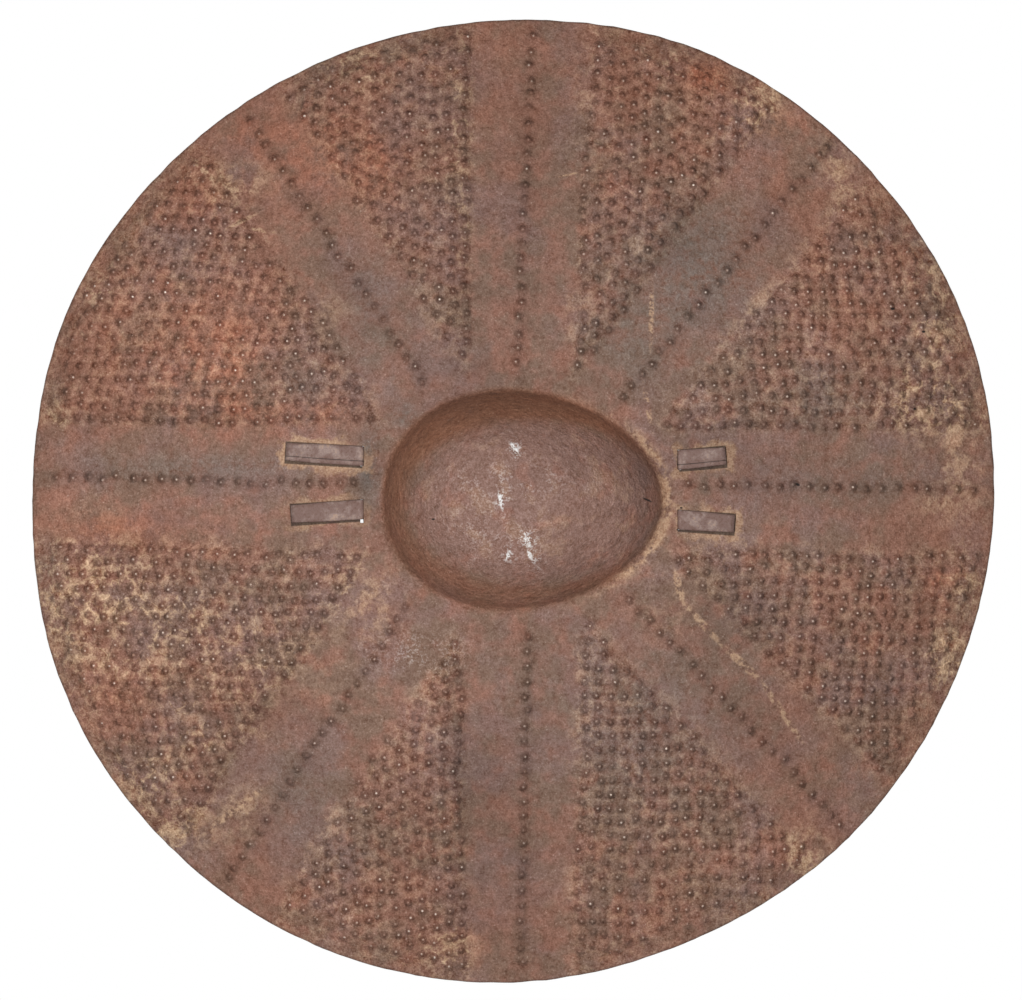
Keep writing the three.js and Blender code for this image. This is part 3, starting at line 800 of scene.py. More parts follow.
def marks_of_field(form, field, rng):
    """Rows of marks along one edge of a field; each row starts at the other edge and runs out to the rim"""
    sizes = form.sizes
    low, high = form.edges[field.name]
    turn = 1 if field.follows == "low" else -1
    (start, way), (far_start, far_way) = (low, high)[::turn]
    inward = turn * np.array((-way[1], way[0]))
    marks = []
    row = 0
    while True:
        origin = start + inward * (EDGE_INSET + row * sizes.row_pitch)
        far = -turn * cross(far_way, origin - far_start)
        gain = -turn * cross(far_way, way)
        along = max((EDGE_INSET - far) / gain, sizes.mark_pitch)
        place = origin + way * along
        if form.to_rim(place[None])[0] < RIM_BARE:
            return marks
        while form.to_rim(place[None])[0] > RIM_BARE:
            fade = smooth((form.to_rim(place[None])[0] - RIM_BARE) / RIM_FADE + RIM_SHARE)
            height = sizes.mark_height * rng.uniform(*FIELD_HEIGHTS) * fade
            stray = rng.normal(0, FIELD_STRAY, 2)
            tip, dark = rng.uniform(0, 1) ** FIELD_TIP_POWER, rng.uniform(*FIELD_DARKS)
            marks.append(Mark(*(place + stray), height, sizes.mark_radius, tip, dark * fade))
            along += sizes.mark_pitch * rng.uniform(*FIELD_SPACINGS)
            place = origin + way * along
        row += 1


def warped(marks, rng):
    """The same marks with the rows bent a little, as a row set by eye wanders"""
    shift = rng.uniform(0, WARP_SHIFT, 2)
    bent = []
    for mark in marks:
        at = Vector((mark.x, mark.z, 0)) / WARP_SCALE
        dx = noise.noise(at + Vector((shift[0], 0, 0))) * WARP
        dz = noise.noise(at + Vector((0, shift[1], WARP_LAYER))) * WARP
        bent.append(mark._replace(x=mark.x + dx, z=mark.z + dz))
    return bent


def all_marks(form):
    """Every punch mark of the sheet, none closer to an earlier one than the punch allows"""
    rng = np.random.default_rng(form.sizes.seed)
    marks = [mark for band in BANDS for mark in row_of_marks(form, band, rng)]
    for field in FIELDS:
        marks += warped(marks_of_field(form, field, rng), rng)
    kept = []
    for mark in marks:
        near = ((mark.x - other.x) ** 2 + (mark.z - other.z) ** 2 < LEAST_APART**2 for other in kept)
        if not any(near):
            wear = MARK_WEAR * noise.noise(Vector((mark.x, mark.z, 0)) / WEAR_SCALE)
            kept.append(mark._replace(tip=mark.tip * (1 + TIP_WEAR * wear), dark=mark.dark * (1 + wear)))
    return kept


def nearest_marks(points, marks):
    """The number of the nearest mark to each point, and its distance"""
    tree = KDTree(len(marks))
    for i, mark in enumerate(marks):
        tree.insert((mark.x, mark.z, 0), i)
    tree.balance()
    found = [tree.find((x, z, 0)) for x, z in points.tolist()]
    return np.array([i for _, i, _ in found]), np.array([distance for _, _, distance in found])


def finished(bm, name):
    """A mesh of its own from what was built"""
    mesh = bpy.data.meshes.new(name)
    bm.to_mesh(mesh)
    bm.free()
    return mesh


def placed(name, data):
    """A new object in the scene"""
    thing = bpy.data.objects.new(name, data)
    bpy.context.scene.collection.objects.link(thing)
    return thing


def ring_points(centre, radius, count, turn):
    return centre + radius * directions(turn + np.arange(count) * math.tau / count)


def loop_points(outline, spacing):
    """Points at even steps along a closed outline"""
    closed = np.vstack((outline, outline[:1]))
    lengths = np.concatenate(([0], np.cumsum(np.linalg.norm(np.diff(closed, axis=0), axis=1))))
    count = max(int(lengths[-1] / spacing), LEAST_LOOP)
    at = np.arange(count) * lengths[-1] / count
    return np.stack([np.interp(at, lengths, closed[:, k]) for k in (0, 1)], axis=-1)


def slot_frames(straps):
    """The middle and the half width and half height of each slot as it is cut in the sheet"""
    found = []
    reach = straps.slot_reach
    for end in STRAP_ENDS:
        slack = end.slack * reach * SLOT_SLACK_SHARE
        half = np.array((straps.thickness / 2 + SLOT_SIDE, straps.width / 2 + SLOT_END + slack / 2))
        middle = np.array((end.outward * reach, end.slot_height * reach - slack / 2))
        found.append((middle + np.array(GRIP_MIDDLE), half))
    return found


def slot_outline(middle, half):
    """A slot's outline with points along its long sides, counter-clockwise"""
    w, h = half
    steps = np.linspace(-h, h, SLOT_STEPS)
    right = [(w, z) for z in steps]
    left = [(-w, z) for z in steps[::-1]]
    return middle + np.array(right + left)


class Skin:
    """One side of the sheet as flat points and the triangles between them"""

    def __init__(self, form, marks, slots, fine):
        self.form = form
        self.marks = marks
        self.slots = slots
        rim_turns = np.arange(RIM_STEPS) * math.tau / RIM_STEPS
        round_rim = ring_points(0, form.sizes.radius, RIM_STEPS, 0)
        ragged = np.abs(rough(round_rim, RIM_RAG_WIDTH)) + 0.5
        ragged = form.rim(rim_turns) - RIM_RAGGED * ragged
        rim = ragged[:, None] * directions(rim_turns)
        loops = [rim] + [slot_outline(*slot) for slot in slots]
        inner = [self.mark_points(fine), self.boss_points(fine), self.filler_points(fine)]
        inner = np.vstack([self.clear_of_edges(points) for points in inner])
        inner = np.vstack((rim * (1 - RIM_RING / form.sizes.radius), self.spaced(inner)))
        self.points = np.vstack(loops + [inner])
        starts = np.cumsum([0] + [len(loop) for loop in loops])
        self.loops = [list(range(a, b)) for a, b in zip(starts, starts[1:])]
        self.triangles = self.triangulate()

    def mark_points(self, fine):
        rings = FINE_MARK_RINGS if fine else COARSE_MARK_RINGS
        points = []
        for i, mark in enumerate(self.marks):
            centre = np.array((mark.x, mark.z))
            points.append(centre[None])
            for k, (share, count) in enumerate(rings):
                points.append(ring_points(centre, share * mark.radius, count, i + k * 0.5))
        return np.vstack(points)

    def boss_points(self, fine):
        """Rings from the boss's apex to the outer edge of the sunk ring, closest together at its foot"""
        form = self.form
        spacing = BOSS_SPACING if fine else COARSER * BOSS_SPACING
        points = [form.apex[None]]
        for share in BOSS_RING_SHARES if fine else BOSS_RING_SHARES[::COARSER]:
            points.append(loop_points(form.apex + (form.foot - form.apex) * share, spacing))
        for share in MOAT_RING_SHARES if fine else MOAT_RING_SHARES[::COARSER]:
            points.append(loop_points(form.foot + (form.ring - form.foot) * share, spacing))
        return np.vstack(points)

    def filler_points(self, fine):
        """A net of points between the marks and over the bare bands"""
        step = FILLER_SPACING if fine else COARSER * FILLER_SPACING
        reach = FILLER_REACH * self.form.sizes.radius
        rows = np.arange(-reach, reach, step * math.sqrt(3) / 2)
        across = np.arange(-reach, reach, step)
        shifts = [(k % 2) * step / 2 for k in range(len(rows))]
        net = np.vstack([np.stack((across + s, np.full_like(across, z)), -1) for s, z in zip(shifts, rows)])
        share, _ = share_of_way(net, self.form.middle, self.form.ring)
        net = net[share > 1 + FILLER_SPACING / self.form.sizes.boss_width]
        _, distances = nearest_marks(net, self.marks)
        return net[distances > FILLER_CLEAR * self.form.sizes.mark_radius]

    def clear_of_edges(self, points):
        """Only the points that lie inside the rim and outside the slots"""
        keep = self.form.to_rim(points) > 2 * RIM_RING
        for middle, half in self.slots:
            keep &= (np.abs(points - middle) > half + SLOT_CLEAR).any(axis=1)
        return points[keep]

    def spaced(self, points):
        """The points without those that share a small square with an earlier one"""
        _, first = np.unique(np.round(points / LEAST_STEP).astype(int), axis=0, return_index=True)
        return points[np.sort(first)]

    def triangulate(self):
        sides = [(a, b) for loop in self.loops for a, b in zip(loop, loop[1:] + loop[:1])]
        flat = [Vector(point) for point in self.points.tolist()]
        _, _, triangles, origins, _, _ = delaunay_2d_cdt(flat, sides, [], 0, WELD, True)
        number = [origin[0] for origin in origins]
        loop_of = np.full(len(self.points), -1)
        for k, loop in enumerate(self.loops):
            loop_of[loop] = k
        kept = []
        for triangle in triangles:
            corners = [number[v] for v in triangle]
            on = {int(loop_of[v]) for v in corners}
            if -1 in on or len(on) > 1:
                kept.append(corners)
        return kept


def mark_heights(points, marks, share=1):
    """How far the nearest punch mark raises each point"""
    heights = np.zeros(len(points))
    for n, (i, distance) in enumerate(zip(*nearest_marks(points, marks))):
        mark = marks[i]
        if distance < mark.radius:
            t = distance / mark.radius
            mound = (1 - POINT_SHARE) * math.cos(t * math.pi / 2) ** 2
            point = POINT_SHARE * math.exp(-((t / POINT_BREADTH) ** 2))
            heights[n] = mark.height * share * (mound + point)
    return heights


def dented(form, points):
    """The hammer's unevenness over the whole sheet"""
    calm = smooth(tongue_distance(points) / TONGUE_CALM)
    at_rim = smooth(form.to_rim(points) / RIM_CALM)
    small = SMALL_DENT_SHARE * calm * rough(points + SMALL_DENT_SHIFT, SMALL_DENT_WIDTH)
    return at_rim * form.sizes.dents * (rough(points, DENT_WIDTH) + small - 0.5)


def tongue_distance(points):
    """Distance from the folded ends of the straps"""
    straps = bpy.context.scene.shield_straps
    nearest = np.full(len(points), np.inf)
    for end in STRAP_ENDS:
        nearest = np.minimum(nearest, distance_to_line(points, tongue_line(straps, end)))
    return np.maximum(nearest - straps.width / 2, 0)


def tongue_line(straps, end):
    """The folded end's middle line: its slot and its tip, about the centre of the disc"""
    slot = np.array((end.outward, end.slot_height)) * straps.slot_reach + GRIP_MIDDLE
    tip = slot + np.array((end.outward * end.tongue_length, end.tongue_rise)) * straps.slot_reach
    return slot, tip


def distance_to_line(points, line):
    """Distance from points to a line of straight runs"""
    nearest = np.full(len(points), np.inf)
    for a, b in zip(line, line[1:]):
        run = b - a
        t = np.clip(((points - a) @ run) / (run @ run), 0, 1)
        gap = points - a - t[:, None] * run
        nearest = np.minimum(nearest, polar(gap)[0])
    return nearest


def base_normals(form, points):
    """The beaten sheet's directions outwards from its face, without the marks"""
    slopes = []
    for step in ((NORMAL_STEP, 0), (0, NORMAL_STEP)):
        rise = form.height(points + np.array(step)) - form.height(points - np.array(step))
        slopes.append(-rise / (2 * NORMAL_STEP))
    normals = np.stack((slopes[0], -np.ones(len(points)), slopes[1]), axis=-1)
    return normals / np.linalg.norm(normals, axis=1)[:, None]


def beaten_sheet(form, marks, straps):
    """The whole sheet as one closed skin: face, back, slots and rim"""
    slots = slot_frames(straps)
    face = Skin(form, marks, slots, fine=True)
    back = Skin(form, marks, slots, fine=False)
    front_points = form.lift(
        face.points, form.height(face.points) + dented(form, face.points) + mark_heights(face.points, marks)
    )
    back_points = form.lift(back.points, form.height(back.points) + dented(form, back.points))
    back_points -= base_normals(form, back.points) * form.sizes.thickness
    back_points[:, 1] -= mark_heights(back.points, marks, BACK_MARK_SHARE)

    count = len(front_points)
    faces = [tuple(t) for t in face.triangles] + [tuple(count + v for v in t[::-1]) for t in back.triangles]
    mesh = bpy.data.meshes.new("sheet")
    mesh.from_pydata(np.vstack((front_points, back_points)).tolist(), [], faces)
    bm = bmesh.new()
    bm.from_mesh(mesh)
    bm.verts.ensure_lookup_table()
    sides = []
    for front_loop, back_loop in zip(face.loops, back.loops):
        ring = {bm.verts[v] for v in front_loop} | {bm.verts[count + v] for v in back_loop}
        edges = [e for v in ring for e in v.link_edges if e.is_boundary]
        edges = list({e for e in edges if e.verts[0] in ring and e.verts[1] in ring})
        sides += bmesh.ops.bridge_loops(bm, edges=edges)["faces"]
    side_set = set(sides)
    lips = {e for f in sides for e in f.edges if any(other not in side_set for other in e.link_faces)}
    bmesh.ops.bevel(bm, geom=list(lips), offset=LIP, segments=2, profile=0.5, affect="EDGES", material=-1)
    for polygon in bm.faces:
        polygon.smooth = True
    bm.to_mesh(mesh)
    bm.free()
    return mesh


# A strap's section, front face first, as shares of its half width and half thickness; the dip near the lower
# edge is the lap line that shows along its folded ends
LAP_DEPTH_SHARE = 0.45
SECTION_SHARES = (
    (1, 0.2), (0.93, 0.85), (0.7, 1), (0.3, 1.04), (-0.1, 1.02), (-0.38, 0.98), (-0.5, LAP_DEPTH_SHARE),
    (-0.6, 0.9), (-0.86, 0.8), (-1, 0.1), (-0.95, -0.8), (-0.6, -1), (0, -1), (0.6, -1), (0.95, -0.85),
)


def rounded_course(corners, step):
    """Points along straight runs whose corners are rounded, each with a radius of its own"""
    course = [corners[0][0]]

    def run_to(point):
        start = course[-1]
        count = max(int(np.linalg.norm(point - start) / step), 1)
        course.extend(start + (point - start) * k / count for k in range(1, count + 1))

    for (before, _), (corner, radius), (after, _) in zip(corners, corners[1:], corners[2:]):
        into, away = unit(corner - before), unit(after - corner)
        turn = math.acos(np.clip(into @ away, -1, 1))
        if radius == 0 or turn < LEAST_TURN:
            run_to(corner)
            continue
        start = corner - into * radius * math.tan(turn / 2)
        inward = unit(away - into * (away @ into))
        run_to(start)
        for k in range(1, BEND_STEPS + 1):
            angle = turn * k / BEND_STEPS
            course.append(start + inward * radius * (1 - math.cos(angle)) + into * radius * math.sin(angle))
    run_to(corners[-1][0])
    return course


def end_course(form, straps, strap, end):
    """Corners of a strap's end with their radii, from the tip of the tongue to the start of the grip"""
    slot, tip = tongue_line(straps, end)
    waist = (slot + tip) / 2
    flat = np.array([tip, waist, slot])
    lift = straps.tongue_gap + straps.thickness / 2
    on_face = form.lift(flat, form.crown(flat) + lift)
    back = -straps.shoulder_depth - form.sizes.thickness
    shoulder = form.lift(slot[None], form.crown(slot[None]) + back)[0]
    grip = np.array((end.outward * straps.grip_half_length, 0, strap.side * straps.grip_spacing / 2))
    return [
        (on_face[0], 0), (on_face[1], 0), (on_face[2], straps.fold_radius),
        (shoulder, straps.shoulder_radius), (grip, straps.grip_bend_radius),
    ]


def forged_strap(form, straps, strap):
    """A flat forged bar swept from one folded end to the other, slightly hammered"""
    left = end_course(form, straps, strap, strap.left)
    right = end_course(form, straps, strap, strap.right)
    course = rounded_course(left + right[::-1], STRAP_STEP)
    bm = bmesh.new()
    # the lap line's lowest points, along which the straps' material paints shade
    seam = bm.verts.layers.float.new("seam")
    ring = [bm.verts.new((0, 0, 0)) for _ in SECTION_SHARES]
    cap = bm.faces.new(ring)
    up = np.array((0, 0, 1))
    so_far = np.concatenate(([0], np.linalg.norm(np.diff(course, axis=0), axis=1).cumsum()))
    for k, point in enumerate(course):
        if k:
            made = bmesh.ops.extrude_face_region(bm, geom=[cap])["geom"]
            if k > 1:
                bmesh.ops.delete(bm, geom=[cap], context="FACES_ONLY")
            cap = next(g for g in made if isinstance(g, bmesh.types.BMFace))
        along = unit(course[min(k + 1, len(course) - 1)] - course[max(k - 1, 0)])
        wide = unit(up - along * (up @ along))
        thick = np.cross(along, wide)
        from_tip = min(so_far[k], so_far[-1] - so_far[k])
        taper = TIP_WIDTH_SHARE + (1 - TIP_WIDTH_SHARE) * smooth(from_tip / TIP_TAPER)
        thin = 1 - TIP_THINNING * (1 - smooth(from_tip / TIP_THIN_REACH))
        lap = (1 - smooth((from_tip - LAP_REACH) / LAP_FADE)) * (strap.side > 0)
        for vert, (w, t) in zip(cap.verts, SECTION_SHARES):
            flat = 1 if t > 0 else -1
            depth = flat + (t - flat) * (lap if abs(w) < SECTION_SIDE else 1)
            place = point + wide * w * taper * straps.width / 2 + thick * depth * thin * straps.thickness / 2
            dent = noise.noise(Vector(place) / STRAP_DENT_WIDTH + Vector((strap.side, 0, 0))) * STRAP_DENT
            vert.co = place + thick * dent + wide * dent
            vert[seam] = lap * (t == LAP_DEPTH_SHARE)
    bmesh.ops.recalc_face_normals(bm, faces=bm.faces)
    for face in bm.faces:
        face.smooth = len(face.verts) == 4
    return finished(bm, "strap")


class Value:
    """A socket of a material; the usual operators on it add Math nodes"""

    def __init__(self, finish, socket):
        self.finish = finish
        self.socket = socket

    def __add__(self, other):
        return self.finish.math("ADD", self, other)

    def __sub__(self, other):
        return self.finish.math("SUBTRACT", self, other)

    def __rsub__(self, other):
        return self.finish.math("SUBTRACT", other, self)

    def __mul__(self, other):
        return self.finish.math("MULTIPLY", self, other)

    def __abs__(self):
        return self.finish.node("ShaderNodeMath", {"operation": "ABSOLUTE"}, {0: self})

    __radd__ = __add__
    __rmul__ = __mul__


class Finish:
    """A material's node tree under construction"""

    def __init__(self, tree):
        self.tree = tree
        tree.nodes.clear()

    def node(self, kind, settings=None, inputs=None, output=0):
        """A node with its settings made first, then its sockets' values or links; gives one output"""
        made = self.tree.nodes.new(kind)
        for name, setting in (settings or {}).items():
            setattr(made, name, setting)
        for key, value in (inputs or {}).items():
            if isinstance(value, Value):
                self.tree.links.new(value.socket, made.inputs[key])
            else:
                made.inputs[key].default_value = value
        return Value(self, made.outputs[output]) if made.outputs else made

    def math(self, operation, a, b):
        return self.node("ShaderNodeMath", {"operation": operation}, {0: a, 1: b})

    def clamp(self, value):
        return self.node("ShaderNodeClamp", None, {"Value": value})

    def grey(self, value, shares=None):
        """The value as a colour, or 1 and a share of the value in each of red, green and blue"""
        parts = [value] * 3 if shares is None else [value * share + 1 for share in shares]
        return self.node("ShaderNodeCombineColor", None, dict(enumerate(parts)))

    def step(self, value, low, high):
        """A smooth rise from 0 at the low value to 1 at the high one, or a fall where low is above high"""
        inputs = {"Value": value, "From Min": min(low, high), "From Max": max(low, high)}
        rise = self.node("ShaderNodeMapRange", {"interpolation_type": "SMOOTHSTEP"}, inputs)
        return rise if low < high else 1 - rise

    def stain(self, name, value):
        """How strongly one of the stains lies where its noise or distance has this value"""
        stain = STAINS[name]
        return self.step(value, stain.start, stain.full) * stain.strength

    def coordinates(self):
        return self.node("ShaderNodeTexCoord", output="Object")

    def about(self, coordinates, line, half_sizes=(1, 1)):
        """Coordinates about the middle of a line on the sheet, turned along it, in shares of half sizes"""
        start, end = (np.array(point) - GRIP_MIDDLE for point in line)
        x, z = (start + end) / 2
        turn = math.atan2(end[1] - start[1], end[0] - start[0])
        inputs = {"Vector": coordinates, "Location": (x, 0, z), "Rotation": (0, -turn, 0)}
        inputs["Scale"] = (half_sizes[0], 1, half_sizes[1])
        return self.node("ShaderNodeMapping", {"vector_type": "TEXTURE"}, inputs)

    def streak(self, coordinates, streak):
        """1 along a thin line on the sheet, falling to 0 over its half width"""
        x, z, end_x, end_z, half_width = (value * MILLIMETRE for value in streak)
        line = ((x, z), (end_x, end_z))
        near = self.about(coordinates, line, (math.dist(*line) / 2 + half_width, half_width))
        away = self.node("ShaderNodeVectorMath", {"operation": "LENGTH"}, {0: near}, output="Value")
        return self.step(away, STREAK_END, STREAK_FULL)

    def beyond(self, coordinates, line, half_width):
        """Distance outwards from the strip along a line on the sheet, below 0 within it"""
        near = self.about(coordinates, line)
        x, z = (self.node("ShaderNodeSeparateXYZ", None, {0: near}, output=axis) for axis in "XZ")
        return self.math("MAXIMUM", abs(x) - math.dist(*line) / 2, abs(z) - half_width)

    def attribute(self, name):
        return self.node("ShaderNodeAttribute", {"attribute_name": name}, output="Fac")

    def noise(self, coordinates, kind):
        """One noise, whose lumps are about as wide as its width"""
        place = self.node("ShaderNodeMapping", None, {"Vector": coordinates, "Location": kind.shift})
        inputs = {"Vector": place, "Scale": 1 / kind.width, "Detail": kind.detail}
        inputs.update({"Roughness": kind.roughness, "Distortion": kind.distortion})
        return self.node("ShaderNodeTexNoise", None, inputs)

    def blend(self, factor, first, second, how="MIX"):
        """Two colours mixed; sockets 6 and 7 of a Mix node hold its colours and output 2 its result"""
        settings = {"data_type": "RGBA", "blend_type": how}
        colours = [c if isinstance(c, Value) else (*c, 1) for c in (first, second)]
        return self.node("ShaderNodeMix", settings, {0: factor, 6: colours[0], 7: colours[1]}, output=2)

    def darken(self, colour, by):
        """A colour multiplied by another"""
        return self.blend(1.0, colour, by, "MULTIPLY")

    def bump(self, height, distance, strength, under=None):
        inputs = {"Height": height, "Distance": distance, "Strength": strength}
        if under is not None:
            inputs["Normal"] = under
        return self.node("ShaderNodeBump", None, inputs)

    def surface(self, **inputs):
        """Ends the material in one Principled shader; a name's underscores stand for spaces"""
        sockets = {name.replace("_", " "): value for name, value in inputs.items()}
        shader = self.node("ShaderNodeBsdfPrincipled", None, sockets)
        self.node("ShaderNodeOutputMaterial", None, {"Surface": shader})


def new_material(name):
    material = bpy.data.materials.new(name)
    material.use_nodes = True
    return material, Finish(material.node_tree)


def summed(values, shares):
    """Values added up, each times its share"""
    total = values[0] * shares[0]
    for value, share in zip(values[1:], shares[1:]):
        total = total + value * share
    return total


def swing(noise_value, width):
    """How far a noise strays from its middle, times the width given"""
    return (noise_value - NOISE_MIDDLE) * width


def even(first, second):
    """Two noises in equal parts"""
    return summed((first, second), (0.5, 0.5))


def mostly(first, second):
    """Two noises, the first a little stronger"""
    return summed((first, second), (MOSTLY, 1 - MOSTLY))


def rusted_iron(colours, straps):
    """Old brown rust: mottled, pitted, dusty in the hollows, dark rust and painted shade round each mark,
    rubbed and painted with a highlight on its tip
    """
    material, f = new_material("rusted_iron")
    at = f.coordinates()
    cloud, mottle, fleck, grain, speck, hue, drift, wander = (f.noise(at, n) for n in RUST_NOISES.values())
    break_up = summed((mottle, fleck, grain), BREAK_UP_SHARES)
    punch, field, dome, face = (f.attribute(name) for name in ("punch", "field", "dome", "face"))
    lying_dust = f.attribute("dust")

    colour = f.blend(f.stain("brown", even(hue, cloud)), colours.olive, colours.brown)
    colour = f.blend(f.stain("mauve", drift), colour, colours.mauve)
    russet = f.stain("russet", even(hue, mottle)) * (field * RUSSET_IN_FIELD + RUSSET_IN_BAND)
    colour = f.blend(russet, colour, colours.russet)
    colour = f.blend(f.attribute("outer") * f.stain("brick", cloud), colour, colours.brick)

    colour = f.blend(f.clamp(f.attribute("orange") * f.stain("orange", break_up)), colour, colours.orange)
    colour = f.blend(f.clamp(f.attribute("slate") * f.stain("slate", break_up)), colour, colours.slate)
    dust_lie = lying_dust + f.attribute("crease") * f.stain("crease", drift) * CREASE_STRENGTH
    dust = f.clamp(dust_lie * f.stain("dust", break_up))
    colour = f.blend(dust * DUST_STRENGTH, colour, colours.dust)
    net = f.stain("net", punch + grain * MARK_RAG) * field * f.stain("dust", break_up)
    net = net * f.clamp(lying_dust * NET_DUST[0] + NET_DUST[1])
    colour = f.blend(net * NET_STRENGTH, colour, colours.clay)
    vein = f.stain("vein", abs(wander - NOISE_MIDDLE)) * f.stain("vein_apart", punch)
    vein = vein * f.stain("vein_broken", break_up) * field
    vein = vein * f.clamp(lying_dust * VEIN_DUST[0] + VEIN_DUST[1])
    colour = f.blend(vein * VEIN_STRENGTH, colour, colours.vein)

    colour = f.blend(dome * f.stain("dome", break_up) * DOME_STRENGTH, colour, colours.dome)
    colour = f.blend(dome * f.stain("dome_clay", mostly(mottle, drift)), colour, colours.clay)
    colour = f.blend(dome * f.stain("dome_orange", mostly(hue, drift)), colour, colours.orange)
    # deep brown rust and painted shade on the boss's steep foot, strongest at the top
    flank = f.clamp(f.attribute("flank") * f.stain("flank", break_up))
    colour = f.blend(flank * FLANK_STRENGTH, colour, colours.flank)

    # dark rust and painted shade in a ring round each mark
    halo_rust_and_shade = f.stain("halo_inside", punch) * f.stain("halo_outside", punch + grain * MARK_RAG)
    halo_rust_and_shade = halo_rust_and_shade * (f.stain("uneven", even(mottle, fleck)) * (1 - HALO_EVEN_SHARE) + HALO_EVEN_SHARE)
    darker = f.darken(colour, HALO_TINT)
    colour = f.blend(halo_rust_and_shade * f.attribute("dark") * HALO_STRENGTH, colour, darker)
    # rubbed tips lightened with a painted highlight, and painted glints on fine specks
    rubbed = f.stain("rubbed", punch) * f.attribute("tip")
    bright = f.clamp(rubbed * TIP_WEAR_AND_HIGHLIGHT_STRENGTH + f.stain("glints", speck))
    colour = f.blend(bright, colour, colours.tip)

    thin = f.stain("thin", even(speck, grain)) * f.stain("thin_broken", mottle)
    # pale scuffs, and painted sheen over the boss's top
    colour = f.blend(f.clamp(f.attribute("scuff") * thin), colour, colours.scuff)
    dust_line = f.stain("dust_line", even(fleck, grain)) * face * DUST_LINE_STRENGTH
    for streak in STREAKS["dust"]:
        colour = f.blend(f.streak(at, streak) * dust_line, colour, colours.dust)
    scuff_line = f.stain("scuff_line", even(grain, speck)) * face
    for streak in STREAKS["scuff"]:
        colour = f.blend(f.streak(at, streak) * scuff_line, colour, colours.scuff)

    gap = seam_gap(f, at, straps)
    frayed = gap + swing(mottle, BORDER_WANDER) + swing(fleck, BORDER_FRAY)
    border = f.stain("border", frayed) * f.stain("border_broken", even(drift, cloud)) * face
    colour = f.blend(border * BORDER_STRENGTH, colour, colours.dust)
    # painted shadow round each folded end, reaching further below it
    colour = f.blend(f.stain("seam", gap) * face * SEAM_STRENGTH, colour, colours.soot_and_shadow)

    value = swing(mottle, MOTTLE_SWING) + 1
    # painted shade along a band's middle, and darker at the rim
    value = value * (1 - f.attribute("groove") * GROOVE_SHADE) * (1 - f.attribute("rim") * RIM_SHADE)
    # painted shade, and painted light below 0, from the shade patches and the fields' slopes
    colour = f.darken(colour, f.grey(value * (1 - f.attribute("shade"))))
    fine = swing(speck, SPECK_SWING) + swing(grain, GRAIN_SWING)
    fine = fine * (field * GRAIN_IN_FIELD + GRAIN_IN_BAND)
    fine = fine + swing(fleck, field * FLECK_IN_FIELD + FLECK_IN_BAND)
    colour = f.darken(colour, f.grey(fine, FINE_TINT))
    for streak in STREAKS["hole"]:
        colour = f.blend(f.streak(at, streak), colour, colours.soot_and_shadow)

    height = summed((grain, fleck, mottle, speck), RUST_BUMP_SHARES)
    mound = f.bump(f.stain("mound", punch), MOUND_BUMP, 1.0)
    worn = f.clamp(rubbed * WORN_SHARE)
    f.surface(
        Base_Color=colour,
        Roughness=RUST_ROUGHNESS - worn * WORN_CHANGE - mottle * MOTTLE_GLOSS,
        Metallic=worn * WORN_CHANGE + RUST_METALLIC,
        Normal=f.bump(height, RUST_BUMP, RUST_BUMP_STRENGTH, mound),
        Specular_IOR_Level=RUST_SPECULAR,
    )
    return material


def seam_gap(f, at, straps):
    """Distance outwards from the nearest folded end of a strap, below 0 under it"""
    gap = None
    for end in STRAP_ENDS:
        # the strip is moved down, so that the painted shadow and the dust border reach further below the end
        line = [point - (0, SHADOW_DROP) for point in tongue_line(straps, end)]
        apart = f.beyond(at, line, straps.width / 2 + SHADOW_DROP / 2)
        gap = apart if gap is None else f.math("MINIMUM", gap, apart)
    return gap


def forged_iron(colours):
    """Dark forge scale on the straps, rubbed paler in patches"""
    material, f = new_material("forged_iron")
    at = f.coordinates()
    mottle, grain = (f.noise(at, kind) for kind in STRAP_NOISES.values())
    colour = f.blend(f.stain("strap_worn", mottle), colours.strap, colours.strap_worn)
    colour = f.blend(f.stain("strap_umber", grain), colour, colours.umber)
    colour = f.blend(f.stain("strap_dust", even(mottle, grain)), colour, colours.dust)
    colour = f.darken(colour, f.grey(swing(grain, STRAP_GRAIN_SWING), FINE_TINT))
    # painted shade along the lap line
    colour = f.blend(f.stain("strap_lap", f.attribute("seam")), colour, colours.soot_and_shadow)
    f.surface(
        Base_Color=colour,
        Roughness=STRAP_ROUGHNESS - f.stain("strap_smooth", mottle) * MOTTLE_GLOSS,
        Metallic=STRAP_METALLIC,
        Normal=f.bump(summed((grain, mottle), STRAP_BUMP_SHARES), STRAP_BUMP, STRAP_BUMP_STRENGTH),
        Specular_IOR_Level=STRAP_SPECULAR,
    )
    return material


def studio_paper():
    """White paper for the floor; it shows as white as the background and still takes a shadow"""
    material, f = new_material("studio_paper")
    diffuse = f.node("ShaderNodeBsdfDiffuse", None, {"Color": PAPER})
    glow = f.node("ShaderNodeEmission", None, {"Color": WHITE, "Strength": PAPER_GLOW})
    both = f.node("ShaderNodeAddShader", None, {0: diffuse, 1: glow})
    rays = f.node("ShaderNodeLightPath", output="Is Camera Ray")
    shader = f.node("ShaderNodeMixShader", None, {0: rays, 1: diffuse, 2: both})
    f.node("ShaderNodeOutputMaterial", None, {"Surface": shader})
    return material


